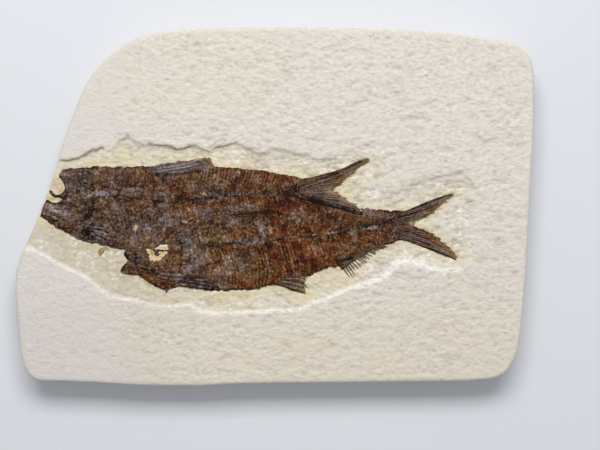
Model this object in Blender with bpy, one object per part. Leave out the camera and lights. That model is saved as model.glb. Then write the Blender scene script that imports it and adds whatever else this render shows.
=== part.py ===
"""Fossil fish plate: two small lake fishes on a slab of pale limestone.

The slab lies on its flat back with the fishes facing up. X runs towards the fishes' tails, Y towards
their backs and Z out of the face. The origin is under the middle of the slab. Plan points are
millimetres from that middle, and the meshes are made in metres.
"""
import math

import bmesh
import bpy
import numpy as np
from mathutils import Vector
from mathutils.geometry import delaunay_2d_cdt

MM = 0.001

# Driving sizes, in millimetres
SLAB_THICKNESS = 12.0
EDGE_ROUND = 1.6
RIM_FLATTEN = 0.6
RIM_BAND = 2.0
BACK_BEVEL = 0.6
BASIN_DEPTH = 0.9
LEDGE_WIDTH = 1.6
CLEARANCE = 0.3
FIN_THICKNESS = 0.35
BODY_CROWN = 0.75
CROWN_WIDTH = 4.5
RIM_STEP = 4.2
FISH_STEP = 1.7
FISH_RIM_ROOM = FISH_STEP / 2
ORBIT_ROOM = FISH_STEP / 3
SLAB_STEP = 6.0
MERGE_DISTANCE = 0.02
OVERLAP_GAP = 0.35
OVERLAP_REACH = 1.0

# The way of filling a plan that keeps only the triangles inside its outline
FILL_INSIDE = 1

# Angles in degrees: the rounded rim's edge lines, and the sharpest turn that is shaded smooth
RIM_ANGLES = (30, 60, 90)
SMOOTH_ANGLE = 40

# Surface colours as they reflect light, and how rough the surfaces are
LIMESTONE_COLOUR = (0.69, 0.64, 0.56)
UPPER_BONE_COLOUR = (0.105, 0.065, 0.047)
LOWER_BONE_COLOUR = (0.108, 0.06, 0.037)
STONE_ROUGHNESS = 0.92
BONE_ROUGHNESS = 0.6

# The sawn outline of the slab, clockwise from its left shoulder
SLAB_OUTLINE = [
    (-63.3, 20.2), (-60.4, 27.8), (-57.1, 36.1), (-51.9, 43.0), (-44.1, 49.2), (-34.5, 52.4), (-15.6, 53.7),
    (7.5, 53.9), (28.5, 53.4), (49.5, 52.5), (60.9, 51.0), (70.2, 49.4), (74.1, 47.4), (76.8, 44.5),
    (77.7, 39.1), (77.8, 31.9), (77.7, 22.9), (77.1, 12.4), (76.5, 1.9), (75.9, -10.0), (75.3, -20.6),
    (74.4, -30.4), (73.5, -39.4), (72.6, -43.9), (71.2, -47.2), (69.3, -49.8), (66.3, -51.4), (60.9, -52.1),
    (52.5, -52.5), (22.5, -52.8), (-10.5, -53.2), (-21.3, -53.8), (-39.6, -53.7), (-52.5, -52.9),
    (-63.0, -52.5), (-70.2, -52.3), (-72.8, -51.4), (-74.7, -49.4), (-76.0, -46.0), (-77.1, -37.4),
    (-77.8, -29.2), (-78.0, -23.6), (-76.9, -16.6), (-72.9, -7.0), (-69.3, 1.9), (-66.3, 10.3),
]

# The basin scraped down round the fishes: its upper ledge from left to right, then its lower one back
UPPER_LEDGE = [
    (-70.5, 13.0), (-64.2, 13.7), (-60.0, 14.2), (-56.1, 16.3), (-52.2, 17.6), (-49.5, 17.2), (-47.1, 19.3),
    (-44.1, 21.4), (-43.5, 20.2), (-41.4, 18.8), (-36.6, 18.6), (-28.8, 17.2), (-23.7, 18.1), (-19.8, 16.2),
    (-18.3, 17.7), (-12.0, 19.1), (-7.5, 17.8), (0.0, 15.4), (4.8, 16.6), (9.3, 14.8), (18.0, 14.2),
    (21.0, 16.9), (25.5, 18.4), (32.1, 20.2), (33.9, 17.8), (34.5, 12.4), (32.7, 7.9), (36.0, 5.8),
    (45.0, 7.6), (51.6, 9.4), (56.1, 10.7), (57.6, 9.2), (59.4, 5.5), (60.0, 0.4), (59.7, -8.5),
]
LOWER_LEDGE = [
    (59.8, -16.6), (56.4, -18.4), (51.0, -19.3), (45.0, -17.6), (40.5, -16.6), (36.9, -17.2), (33.0, -20.6),
    (27.9, -23.2), (23.1, -24.4), (18.0, -26.6), (12.3, -28.9), (7.5, -30.9), (-3.9, -31.6), (-10.5, -31.8),
    (-18.0, -32.1), (-22.5, -31.3), (-25.5, -29.7), (-34.5, -30.1), (-41.4, -28.3), (-48.9, -27.1),
    (-52.5, -24.8), (-57.0, -21.1), (-65.4, -17.2), (-68.4, -15.1), (-74.1, -12.8), (-81.0, -11.8),
]

# The line where the upper fish lies over the lower one, from the upper fish's tail to its throat
OVERLAP_LINE = [
    (24.0, -2.9), (21.0, -2.2), (18.0, -1.3), (15.0, -0.8), (12.0, 0.1), (9.0, 1.1), (6.0, 1.1), (1.5, -0.4),
    (-3.9, -1.9), (-10.5, -2.5), (-18.0, -3.1), (-24.0, -4.6), (-29.1, -6.8), (-31.5, -9.2), (-34.5, -10.9),
    (-37.5, -11.5), (-40.5, -12.2), (-44.1, -12.8),
]

# The upper fish, clockwise from the top of its head
UPPER_BACK = [(-63.9, 11.1), (-61.5, 11.4), (-57.0, 11.7), (-53.4, 12.0), (-46.5, 11.9), (-39.0, 12.2)]
UPPER_DORSAL_FIN = [
    (-36.0, 12.4), (-33.6, 12.9), (-31.5, 13.3), (-25.5, 13.9), (-22.5, 14.3), (-19.8, 14.8), (-19.1, 14.2),
    (-18.9, 13.0),
]
UPPER_BACK_REAR = [
    (-18.3, 12.0), (-15.0, 11.8), (-10.5, 11.5), (-3.9, 10.8), (0.0, 10.0), (4.5, 9.4), (8.4, 8.5),
]
UPPER_TAIL_TOP = [
    (10.5, 8.7), (15.0, 9.9), (18.0, 10.7), (21.0, 11.8), (24.0, 13.3), (27.0, 14.4), (28.9, 14.7),
]
UPPER_TAIL_FORK = [
    (27.3, 13.3), (26.1, 12.9), (26.4, 12.4), (24.6, 11.5), (24.9, 11.1), (22.5, 9.6), (22.8, 9.2),
    (20.4, 7.9), (20.4, 7.2), (18.6, 6.5), (16.8, 4.9), (18.9, 4.2), (20.6, 3.3), (20.4, 2.2),
    (22.2, 1.6), (24.3, 0.6), (25.8, -0.4), (26.6, -1.6), (26.7, -3.0),
]
UPPER_BELLY = [
    (-46.5, -12.8), (-48.9, -12.3), (-52.5, -11.4), (-56.1, -10.7), (-59.1, -9.9), (-62.4, -8.1),
    (-64.5, -7.0), (-66.9, -5.5), (-69.0, -3.9),
]
UPPER_JAW = [
    (-70.6, -3.0), (-69.9, -0.1), (-68.7, 2.1), (-68.1, 1.9), (-66.9, 1.2), (-65.1, 1.1), (-63.6, 1.6),
    (-62.8, 2.5),
]
UPPER_EYE_RIM = [
    (-64.8, 2.8), (-66.0, 2.7), (-67.0, 3.3), (-67.5, 4.1), (-67.6, 4.8), (-67.1, 4.9), (-66.8, 4.0),
    (-65.8, 3.4), (-64.8, 3.6), (-63.8, 4.3), (-63.1, 5.2), (-63.1, 6.1), (-63.6, 7.3), (-64.5, 8.4),
    (-65.0, 8.9), (-64.8, 9.8),
]
UPPER_SPINE = [
    (-53.4, 2.5), (-45.0, 2.5), (-37.5, 2.9), (-30.0, 2.7), (-22.5, 2.5), (-13.5, 3.4), (-6.0, 3.9),
    (0.0, 4.0), (4.5, 4.8), (8.7, 5.4),
]
UPPER_GILL_COVER = [(-55.5, 3.5), (-54.6, 1.0), (-55.2, -1.6), (-57.0, -3.6), (-60.2, -4.6)]
UPPER_PECTORAL_FIN = [(-58.0, -6.8), (-53.0, -8.3), (-47.0, -10.0)]

# Where the upper fish's tail starts on the overlap line
UPPER_TAIL_ROOT = OVERLAP_LINE[5]

# The rays of each tail lobe, as both ends of their line of roots and both ends of their line of tips
UPPER_HIGH_RAYS = ((10.0, 7.7), (10.4, 5.2), (27.6, 13.9), (17.2, 5.6))
UPPER_LOW_RAYS = ((10.6, 4.2), (10.8, 1.6), (17.4, 4.2), (26.0, -2.3))
LOWER_HIGH_RAYS = ((38.8, -2.6), (39.0, -4.8), (52.6, 3.4), (41.4, -4.0))
LOWER_LOW_RAYS = ((38.8, -6.2), (38.4, -9.4), (41.6, -6.6), (53.4, -15.2))

# The lower fish, from its mouth along its belly to the tail and back along its back
LOWER_FACE = [
    (-45.1, -13.4), (-45.5, -14.4), (-44.7, -15.6), (-44.2, -16.2), (-44.7, -16.9), (-45.9, -18.1),
    (-46.5, -19.2), (-46.2, -19.8), (-45.3, -20.2), (-43.5, -20.5), (-41.1, -20.6),
]
LOWER_BELLY = [
    (-40.2, -21.3), (-37.5, -23.2), (-34.5, -24.8), (-33.0, -25.1), (-32.6, -25.9), (-32.1, -25.2),
    (-30.9, -24.7), (-29.1, -24.2), (-26.7, -24.1), (-23.1, -24.8), (-18.9, -25.3), (-12.0, -25.1),
    (-7.5, -25.1), (-4.5, -24.4), (-0.6, -23.4),
]
LOWER_PELVIC_FIN = [
    (0.9, -23.7), (3.0, -24.3), (5.1, -25.2), (7.5, -25.8), (9.3, -26.1), (8.7, -25.3), (9.4, -24.8),
    (8.5, -24.0), (9.6, -23.1), (8.5, -22.3), (9.6, -21.8), (9.3, -21.1),
]
LOWER_BELLY_REAR = [(11.1, -20.6), (15.3, -18.6), (18.9, -18.0)]
ANAL_FIN_ROOTS = [
    (20.4, -18.8), (21.1, -18.3), (21.8, -17.7), (22.3, -17.4), (23.1, -16.8), (23.8, -16.2), (24.8, -15.7),
    (25.6, -15.2), (26.6, -14.8), (27.4, -14.1), (28.6, -13.3), (30.0, -12.7), (31.8, -12.0), (33.9, -11.4),
]
ANAL_FIN_TIPS = [
    (22.6, -21.6), (23.3, -21.3), (24.1, -20.6), (25.1, -20.2), (25.6, -18.4), (26.6, -17.8), (27.8, -16.6),
    (28.8, -15.4), (29.4, -15.0), (30.3, -14.1), (31.5, -13.3), (33.3, -12.4), (35.4, -11.7),
]
LOWER_TAIL_BOTTOM = [(36.0, -10.6), (37.5, -10.1), (41.1, -10.9), (46.5, -13.0), (52.5, -15.3), (54.6, -16.1)]
LOWER_TAIL_FORK = [
    (54.0, -15.0), (52.5, -12.9), (51.0, -11.4), (49.5, -10.0), (47.4, -8.2), (45.0, -6.9), (42.0, -6.0),
    (40.5, -5.3), (41.1, -4.6), (42.6, -4.2), (45.6, -3.3), (45.1, -2.7), (47.9, -1.8), (47.4, -1.2),
    (49.8, 0.1), (49.5, 0.6), (51.4, 2.1),
]
LOWER_TAIL_TOP = [(53.7, 4.0), (51.9, 3.6), (49.5, 2.9), (45.0, 1.2), (39.9, -1.0), (38.4, -1.4)]
LOWER_BACK_REAR = [(36.0, -1.3), (33.0, -1.1), (30.0, -0.8), (27.5, -0.6), (27.3, -3.4)]
LOWER_ORBIT = [
    (-39.0, -13.4), (-37.9, -12.8), (-34.5, -12.3), (-32.7, -12.2), (-31.8, -12.9), (-32.9, -13.9),
    (-33.6, -15.4), (-34.5, -16.2), (-35.7, -16.6), (-36.9, -16.3), (-37.6, -15.3),
]
LOWER_SPINE = [
    (-21.6, -10.9), (-15.0, -10.9), (-3.0, -10.0), (7.5, -9.2), (18.0, -8.2), (24.0, -6.9), (30.0, -5.8),
    (34.5, -4.2), (38.1, -2.5),
]
LOWER_GILL_COVER = [(-26.0, -8.8), (-23.6, -12.0), (-23.2, -15.5), (-24.6, -18.8), (-27.4, -21.2)]
LOWER_PECTORAL_FIN = [(-26.0, -22.6), (-22.0, -23.4), (-17.5, -24.0)]
LOWER_DORSAL_FIN = [(-14.5, -3.9), (-8.0, -3.5), (-1.0, -2.6)]

# Low ridges of bone, as half width and height
SPINE_RIDGE = (0.8, 0.35)
GILL_RIDGE = (0.9, 0.2)
FIN_RIDGE = (0.9, 0.2)
RAY_RIDGE = (0.7, 0.15)
TAIL_RAYS = 4
RAY_INSET = 0.88


def spline(points, step, closed=False):
    """Points every step along a smooth curve through the given points."""
    count = len(points)
    spans = count if closed else count - 1
    curve = []
    for i in range(spans):
        if closed:
            before, start, end, after = (points[(i + k) % count] for k in (-1, 0, 1, 2))
        else:
            before, start, end, after = (points[min(max(i + k, 0), count - 1)] for k in (-1, 0, 1, 2))
        pieces = max(1, round(math.dist(start, end) / step))
        for j in range(pieces):
            t = j / pieces
            point = []
            for a, b, c, d in zip(before, start, end, after):
                bend = (2 * a - 5 * b + 4 * c - d) * t ** 2 + (3 * b - a - 3 * c + d) * t ** 3
                point.append(0.5 * (2 * b + (c - a) * t + bend))
            curve.append(tuple(point))
    if not closed:
        curve.append(tuple(points[-1]))
    return curve


def shifted(line, offset):
    """A copy of a line moved sideways to its left by an offset."""
    line = np.array(line)
    along = np.gradient(line, axis=0)
    along /= np.linalg.norm(along, axis=1)[:, None]
    return [tuple(p) for p in line + offset * np.column_stack((-along[:, 1], along[:, 0]))]


def distance(points, line, closed=False):
    """Distance from each point to a line of straight spans."""
    points = np.asarray(points, dtype=float)
    starts = np.asarray(line, dtype=float)
    ends = np.roll(starts, -1, axis=0) if closed else starts[1:]
    starts = starts if closed else starts[:-1]
    along = ends - starts
    offset = points[:, None, :] - starts[None]
    t = np.clip((offset * along).sum(2) / (along ** 2).sum(1), 0, 1)
    return np.linalg.norm(offset - t[..., None] * along, axis=2).min(1)


def inside(points, loop):
    """Whether each point lies inside a closed loop."""
    x, y = np.asarray(points, dtype=float).T
    found = np.zeros(len(x), dtype=bool)
    for (x0, y0), (x1, y1) in zip(loop, loop[1:] + loop[:1]):
        if y0 != y1:
            found ^= ((y0 > y) != (y1 > y)) & (x < (x1 - x0) * (y - y0) / (y1 - y0) + x0)
    return found


def smooth(t):
    """Eases from 0 to 1."""
    t = np.clip(t, 0, 1)
    return t * t * (3 - 2 * t)


SLAB_LOOP = spline(SLAB_OUTLINE, RIM_STEP, closed=True)
BASIN_LOOP = UPPER_LEDGE + LOWER_LEDGE


def face_height(points):
    """Height of the stone's face: level, lower in the basin, and rounded down at the rim."""
    rim = np.minimum(distance(points, SLAB_LOOP, closed=True), EDGE_ROUND)
    round_drop = EDGE_ROUND - np.sqrt(EDGE_ROUND ** 2 - (EDGE_ROUND - rim) ** 2)
    ledge = distance(points, BASIN_LOOP, closed=True) * np.where(inside(points, BASIN_LOOP), 1, -1)
    return SLAB_THICKNESS - RIM_FLATTEN * round_drop - BASIN_DEPTH * smooth(ledge / LEDGE_WIDTH)


def grid(loop, step, margin):
    """Points of a triangular lattice inside a loop, at least a margin away from it."""
    low, high = np.min(loop, axis=0), np.max(loop, axis=0)
    rows = np.arange(low[1], high[1], step * math.sin(math.radians(60)))
    spots = np.array([
        (x + (i % 2) * step / 2, y) for i, y in enumerate(rows) for x in np.arange(low[0], high[0], step)])
    return spots[inside(spots, loop) & (distance(spots, loop, closed=True) > margin)]


def clear_of(spots, lines, room):
    """The spots that keep some room from every line."""
    for line in lines:
        spots = spots[distance(spots, line) > room]
    return spots


def triangles(loops, lines, spots):
    """Plan triangles inside the first loop and outside the others, with edges along each line."""
    points, edges = [], []
    for chain, closed in [(loop, True) for loop in loops] + [(line, False) for line in lines]:
        first = len(points)
        points.extend(chain)
        edges.extend((first + i, first + i + 1) for i in range(len(chain) - 1))
        if closed:
            edges.append((first + len(chain) - 1, first))
    points.extend(spots)
    places = [Vector((float(x), float(y))) for x, y in points]
    rim = [list(range(len(loops[0])))]
    found, _, faces, *_ = delaunay_2d_cdt(places, edges, rim, FILL_INSIDE, MERGE_DISTANCE)
    plan = np.array([(v.x, v.y) for v in found])
    centres = np.array([plan[list(face)].mean(0) for face in faces])
    kept = inside(centres, loops[0])
    for hole in loops[1:]:
        kept &= ~inside(centres, hole)
    turned = []
    for face, keep in zip(faces, kept):
        if keep:
            a, b, c = plan[list(face)]
            upward = (b[0] - a[0]) * (c[1] - a[1]) > (c[0] - a[0]) * (b[1] - a[1])
            turned.append(tuple(face) if upward else tuple(reversed(face)))
    return plan, turned


def border(faces):
    """The directed edges that only one triangle has."""
    sides = {(face[i], face[(i + 1) % 3]) for face in faces for i in range(3)}
    return [(a, b) for a, b in sides if (b, a) not in sides]


def add_object(name, vertices, faces, material):
    """Makes one closed solid from points in millimetres."""
    mesh = bpy.data.meshes.new(name)
    mesh.from_pydata([tuple(float(v) * MM for v in p) for p in vertices], [], faces)
    shape = bmesh.new()
    shape.from_mesh(mesh)
    loose = [v for v in shape.verts if not v.link_faces]
    bmesh.ops.delete(shape, geom=loose, context="VERTS")
    bmesh.ops.triangulate(shape, faces=[f for f in shape.faces if len(f.verts) > 4])
    shape.to_mesh(mesh)
    shape.free()
    mesh.shade_smooth()
    mesh.set_sharp_from_angle(angle=math.radians(SMOOTH_ANGLE))
    mesh.materials.append(material)
    part = bpy.data.objects.new(name, mesh)
    bpy.context.collection.objects.link(part)
    return part


def make_material(name, colour, roughness):
    """A plain surface with the piece's own colour."""
    material = bpy.data.materials.new(name)
    material.use_nodes = True
    shader = material.node_tree.nodes["Principled BSDF"]
    shader.inputs["Base Color"].default_value = (*colour, 1)
    shader.inputs["Roughness"].default_value = roughness
    shader.inputs["Metallic"].default_value = 0
    return material


def make_slab():
    """The limestone plate: flat back, sawn sides, rounded face edge and the basin round the fishes."""
    rings = [shifted(SLAB_LOOP, -EDGE_ROUND * (1 - math.cos(math.radians(angle)))) for angle in RIM_ANGLES]
    rings = [ring + ring[:1] for ring in rings]
    upper = spline(UPPER_LEDGE, RIM_STEP)
    lower = spline(LOWER_LEDGE, RIM_STEP)
    ledges = []
    for line in (upper, lower):
        for offset in (LEDGE_WIDTH, 0, -LEDGE_WIDTH):
            moved = np.array(shifted(line, offset))
            kept = inside(moved, SLAB_LOOP) & (distance(moved, SLAB_LOOP, closed=True) > EDGE_ROUND)
            ledges.append([tuple(p) for p in moved[kept]])
    spots = clear_of(grid(SLAB_LOOP, SLAB_STEP, EDGE_ROUND + RIM_BAND), ledges, LEDGE_WIDTH)
    plan, faces = triangles([SLAB_LOOP], rings + ledges, spots)
    onward = dict(border(faces))
    loop = [next(iter(onward))]
    while onward[loop[-1]] != loop[0]:
        loop.append(onward[loop[-1]])
    vertices = [(x, y, z) for (x, y), z in zip(plan, face_height(plan))]
    rim = [tuple(plan[i]) for i in loop]
    rings_down = [(rim, BACK_BEVEL), (shifted(rim, BACK_BEVEL), 0.0)]
    above = loop
    for ring, height in rings_down:
        first = len(vertices)
        vertices.extend((x, y, height) for x, y in ring)
        below = list(range(first, len(vertices)))
        for i in range(len(loop)):
            k = (i + 1) % len(loop)
            faces.append((below[i], below[k], above[k], above[i]))
        above = below
    faces.append(tuple(reversed(above)))
    limestone = make_material("limestone", LIMESTONE_COLOUR, STONE_ROUGHNESS)
    return add_object("slab", vertices, faces, limestone)


def fan(root_a, root_b, tip_a, tip_b):
    """Fin rays that spread from one root line to a line of tips."""
    lines = []
    for i in range(TAIL_RAYS):
        share = i / (TAIL_RAYS - 1)
        root = np.array(root_a) * (1 - share) + np.array(root_b) * share
        tip = np.array(tip_a) * (1 - share) + np.array(tip_b) * share
        tip = root + (tip - root) * RAY_INSET
        lines.append(spline([tuple(root), tuple(tip)], FISH_STEP))
    return lines


def make_fish(name, loops, body_rim, body_loop, ridges, colour):
    """One fish: a thin crowned relief that follows the stone under it, with its ridges of bone.

    The relief thins towards body_rim, and stays thick where the fish meets the other one.
    """
    lines = []
    for line, (width, _) in ridges:
        for side in (0, width, -width):
            moved = np.array(shifted(line, side))
            kept = inside(moved, loops[0]) & (distance(moved, loops[0], closed=True) > CLEARANCE)
            if kept.sum() > 1:
                lines.append([tuple(p) for p in moved[kept]])
    spots = clear_of(grid(loops[0], FISH_STEP, FISH_RIM_ROOM), lines, FISH_RIM_ROOM)
    for hole in loops[1:]:
        spots = spots[distance(spots, hole, closed=True) > ORBIT_ROOM]
    plan, faces = triangles(loops, lines, spots)
    under = face_height(plan) + CLEARANCE
    in_body = inside(plan, body_loop)
    crown = BODY_CROWN * smooth(distance(plan, body_rim) / CROWN_WIDTH)
    over = under + FIN_THICKNESS + np.where(in_body, crown, 0)
    for line, (width, height) in ridges:
        over += height * np.clip(1 - (distance(plan, line) / width) ** 2, 0, 1)
    count = len(plan)
    vertices = [(x, y, z) for (x, y), z in zip(plan, over)] + [(x, y, z) for (x, y), z in zip(plan, under)]
    solid = faces + [tuple(count + i for i in reversed(face)) for face in faces]
    solid += [(count + a, count + b, b, a) for a, b in border(faces)]
    return add_object(name, vertices, solid, make_material(name + "_bone", colour, BONE_ROUGHNESS))


def make_upper_fish():
    """The fish whose cut head reaches the slab's left edge."""
    overlap = spline(OVERLAP_LINE, FISH_STEP)
    back = spline(UPPER_BACK, FISH_STEP)
    rear = spline(UPPER_BACK_REAR, FISH_STEP)
    belly = spline(UPPER_BELLY, FISH_STEP)
    tail = spline(UPPER_TAIL_TOP, FISH_STEP) + UPPER_TAIL_FORK
    head = UPPER_JAW + UPPER_EYE_RIM
    outline = back + UPPER_DORSAL_FIN + rear + tail + overlap + belly + head
    body_rim = belly + head + back + rear + [UPPER_TAIL_ROOT]
    body_loop = body_rim + shifted(overlap[overlap.index(UPPER_TAIL_ROOT):], OVERLAP_REACH)
    ridges = [
        (spline(UPPER_SPINE, FISH_STEP), SPINE_RIDGE),
        (spline(UPPER_GILL_COVER, FISH_STEP), GILL_RIDGE),
        (spline(UPPER_PECTORAL_FIN, FISH_STEP), FIN_RIDGE),
    ]
    ridges += [(ray, RAY_RIDGE) for ray in fan(*UPPER_HIGH_RAYS) + fan(*UPPER_LOW_RAYS)]
    return make_fish("upper_fish", [outline], body_rim, body_loop, ridges, UPPER_BONE_COLOUR)


def make_lower_fish():
    """The fish whose back is tucked under the other's belly, with an open orbit."""
    overlap = shifted(spline(OVERLAP_LINE, FISH_STEP), OVERLAP_GAP)
    belly = spline(LOWER_BELLY, FISH_STEP)
    belly_rear = spline(LOWER_BELLY_REAR, FISH_STEP)
    comb = [ANAL_FIN_ROOTS[0]]
    for tip, root in zip(ANAL_FIN_TIPS, ANAL_FIN_ROOTS[1:]):
        comb += [tip, root]
    bottom = spline(LOWER_TAIL_BOTTOM, FISH_STEP)
    top = spline(LOWER_TAIL_TOP, FISH_STEP)
    rear = LOWER_BACK_REAR
    outline = LOWER_FACE + belly + LOWER_PELVIC_FIN + belly_rear + comb
    outline += bottom + LOWER_TAIL_FORK + top + rear + overlap
    body_rim = LOWER_FACE + belly + belly_rear + ANAL_FIN_ROOTS + bottom[:1] + top[-1:] + rear
    body_loop = body_rim + shifted(overlap, -OVERLAP_REACH)
    ridges = [
        (spline(LOWER_SPINE, FISH_STEP), SPINE_RIDGE),
        (spline(LOWER_GILL_COVER, FISH_STEP), GILL_RIDGE),
        (spline(LOWER_PECTORAL_FIN, FISH_STEP), FIN_RIDGE),
        (spline(LOWER_DORSAL_FIN, FISH_STEP), FIN_RIDGE),
    ]
    ridges += [(ray, RAY_RIDGE) for ray in fan(*LOWER_HIGH_RAYS) + fan(*LOWER_LOW_RAYS)]
    return make_fish("lower_fish", [outline, LOWER_ORBIT], body_rim, body_loop, ridges, LOWER_BONE_COLOUR)


def main():
    for item in list(bpy.data.objects):
        bpy.data.objects.remove(item, do_unlink=True)
    make_slab()
    make_upper_fish()
    make_lower_fish()


main()
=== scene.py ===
"""Fossil fish plate: the finished stone and its two fishes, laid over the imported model.

The slab lies on its flat back with the fishes facing up. X runs towards the fishes' tails,
Y towards their backs and Z out of the face. Plan points are millimetres from the slab's middle,
and the meshes are made in metres.
"""

import math

import bpy
import numpy as np
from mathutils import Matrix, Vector
from mathutils.geometry import delaunay_2d_cdt, tessellate_polygon


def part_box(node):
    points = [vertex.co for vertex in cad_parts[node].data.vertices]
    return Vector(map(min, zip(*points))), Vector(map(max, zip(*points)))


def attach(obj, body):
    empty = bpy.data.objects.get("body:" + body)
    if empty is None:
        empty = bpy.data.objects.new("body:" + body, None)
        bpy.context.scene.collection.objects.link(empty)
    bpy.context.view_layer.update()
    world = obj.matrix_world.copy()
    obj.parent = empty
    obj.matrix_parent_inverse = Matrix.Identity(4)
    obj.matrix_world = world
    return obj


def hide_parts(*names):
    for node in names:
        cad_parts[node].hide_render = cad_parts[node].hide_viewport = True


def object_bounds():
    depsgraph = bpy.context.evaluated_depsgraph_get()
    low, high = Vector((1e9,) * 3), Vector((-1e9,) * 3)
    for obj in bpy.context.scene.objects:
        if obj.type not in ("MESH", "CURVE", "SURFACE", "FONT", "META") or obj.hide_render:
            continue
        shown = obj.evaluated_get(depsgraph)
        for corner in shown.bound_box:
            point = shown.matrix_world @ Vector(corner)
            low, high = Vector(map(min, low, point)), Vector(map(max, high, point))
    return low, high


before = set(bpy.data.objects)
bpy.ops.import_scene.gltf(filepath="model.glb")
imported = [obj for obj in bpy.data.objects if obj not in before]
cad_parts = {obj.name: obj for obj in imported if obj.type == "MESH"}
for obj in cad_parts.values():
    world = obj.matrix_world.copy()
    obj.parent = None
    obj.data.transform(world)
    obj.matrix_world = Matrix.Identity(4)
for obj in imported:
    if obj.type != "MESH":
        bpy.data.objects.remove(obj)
CAD_LOW, CAD_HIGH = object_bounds()

# Metres in a millimetre
MM = 0.001

# Turns a colour as the eye sees it into the light that a surface gives back
SCREEN_GAMMA = 2.2

# Driving sizes of the stone, in millimetres
SLAB_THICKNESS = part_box("slab")[1].z / MM
EDGE_ROUND = 1.6
BACK_BEVEL = 0.6
BASIN_DEPTH = 0.9
SOFT_BANK_WIDTH = 5.0
BROAD_SWELL = 0.16
SIDE_WAVER = 0.14
SHADE_WANDER = 26
CRACK_WANDER = 0.5
LUMP_HEIGHT = 0.52
FLAKE_HEIGHT = 0.06
GRAIN_HEIGHT = 0.17
STROKE_DEPTH = 0.16
PIT_DEPTH = 0.24

# The share of its full round that the worn rim drops
RIM_FLATTEN = 0.6

# How far the mesh's rings lie inside the rim, and how high those round its sides are, in millimetres
RIM_RINGS = (0.16, 0.4, 0.75, 1.2, 1.75)
SIDE_HEIGHTS = (8.6, 6.9, 5.2, 3.5, 1.9, BACK_BEVEL)

# How far the yellow reaches from the fishes, and the orbit's own colour from the orbit, in millimetres
HALO_WIDTH = 2.0
ORBIT_MARGIN = 0.6

# Spacing of the stone's points along its lines, on its open face and under the fishes, in millimetres
RIM_STEP = 0.55
LEDGE_STEP = 0.8
CRACK_STEP = 0.5
STONE_STEP = (0.5, 0.38)
HIDDEN_STEP = (2.0, 1.8)
HIDDEN_MARGIN = 1.4

# Points nearer together than this are merged, and edges sharper than this stay sharp
MERGE_DISTANCE = 0.02
SHARP_ANGLE = math.radians(60)

# Driving sizes of the fishes, in millimetres
FISH_STEP = 0.165
FISH_RIM_STEP = 0.2
BODY_STEP = 1
SUNK_DEPTH = 0.3
RIM_THICKNESS = 0.22
SKIN_THICKNESS = 0.3
SKIN_WIDTH = 0.6
BODY_CROWN = 0.72
CROWN_WIDTH = 4.5
RIB_PITCH = 1.05
RIB_BOW = 2.6
RIB_LENGTH = 17.0
VERTEBRA_PITCH = 0.92
ORBIT_FILL = 0.86
OVERLAP_TUCK = 0.7
BODY_MARGIN = 2.0
RAY_PITCH = 0.58
RAY_REACH = 1.4
TIP_WIDTH = 1.7
ANAL_PITCH = 0.8
ANAL_RAY_HALF_WIDTH = 0.15
EDGE_FRAY = 0.19
ORBIT_FRAY = 0.09
BIT_THICKNESS = 0.16
BIT_SLOPE = 0.25

# Heights of the small relief on the fishes, in millimetres
RIB_HEIGHT = 0.2
VERTEBRA_HEIGHT = 0.18
RAY_HEIGHT = 0.16
SWELL_HEIGHT = 0.2
BLOTCH_HEIGHT = 0.12
SCALE_HEIGHT = 0.08
PLATE_HEIGHT = 0.12

# The fins' rays each split in two over this length, this far from their hub, in millimetres
RAY_SPLIT_START = 18
RAY_SPLIT_LENGTH = 8

# Angles between neighbouring rays of the fins, in radians
TAIL_RAY_TURN = 0.033
DORSAL_RAY_TURN = 0.017
PELVIC_RAY_TURN = 0.05
ANAL_RAY_TURN = 0.034

# Plain bone, the rusty bone of each fish and the darkest that bone gets, as the eye sees them
PLAIN_BONE = (0.362, 0.266, 0.204)
UPPER_RUST = (0.312, 0.162, 0.062)
LOWER_RUST = (0.328, 0.146, 0.024)
DARKEST_BONE = (0.075, 0.060, 0.055)

# The other colours of bone, with pale bone that is mostly painted highlight, as the eye sees them, in the
# order that they are laid over one another
BONE_TINTS = {
    "olive": (0.325, 0.236, 0.115),
    "grey_bone": (0.375, 0.320, 0.305),
    "gold": (0.520, 0.345, 0.150),
    # Pale bluish bone, mostly painted highlight
    "pale_bone_and_highlight": (0.560, 0.525, 0.545),
    "dark_bone": (0.135, 0.108, 0.100),
    "pale_fleck": (0.740, 0.640, 0.480),
    "stone": (0.760, 0.690, 0.560),
}

# The stone, the loose bit of bone and the tabletop, as the light that they give back
CREAM_STONE = [(0.28, (0.620, 0.575, 0.520)), (0.5, (0.710, 0.667, 0.610)), (0.72, (0.800, 0.762, 0.712))]
WARM_STONE = (0.715, 0.657, 0.568)
COOL_STONE = (0.716, 0.668, 0.636)
GREY_STONE = (0.690, 0.647, 0.632)
YELLOW_STONE = (0.710, 0.625, 0.420)
# Shade painted into the stone's pecked recesses and towards the bottom left
PAINTED_SHADE_STONE = (0.47, 0.415, 0.335)
SAWN_STONE = (0.56, 0.515, 0.455)
FRESH_STONE = (0.885, 0.860, 0.805)
GOLDEN_BIT = [(0.3, (0.16, 0.075, 0.02)), (0.5, (0.36, 0.205, 0.062)), (0.7, (0.52, 0.36, 0.15))]
PALE_TABLE = [(0.3, (0.70, 0.725, 0.775)), (0.7, (0.735, 0.755, 0.80))]

# Stains on the stone, dark marks that are partly painted shade, and the cracks' dark with painted shade along
# it, in the order that they are laid over one another
STAIN_TINTS = {
    "peach": (0.700, 0.540, 0.370),
    "golden": (0.735, 0.520, 0.215),
    "rust": (0.40, 0.25, 0.10),
    # Dark marks, some of them painted shade round the upper fish's eye and jaw window
    "smudge_and_shade": (0.20, 0.17, 0.135),
    # The cracks' dark colour, partly painted shade under the ledge step
    "crack": (0.36, 0.30, 0.228),
}

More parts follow.
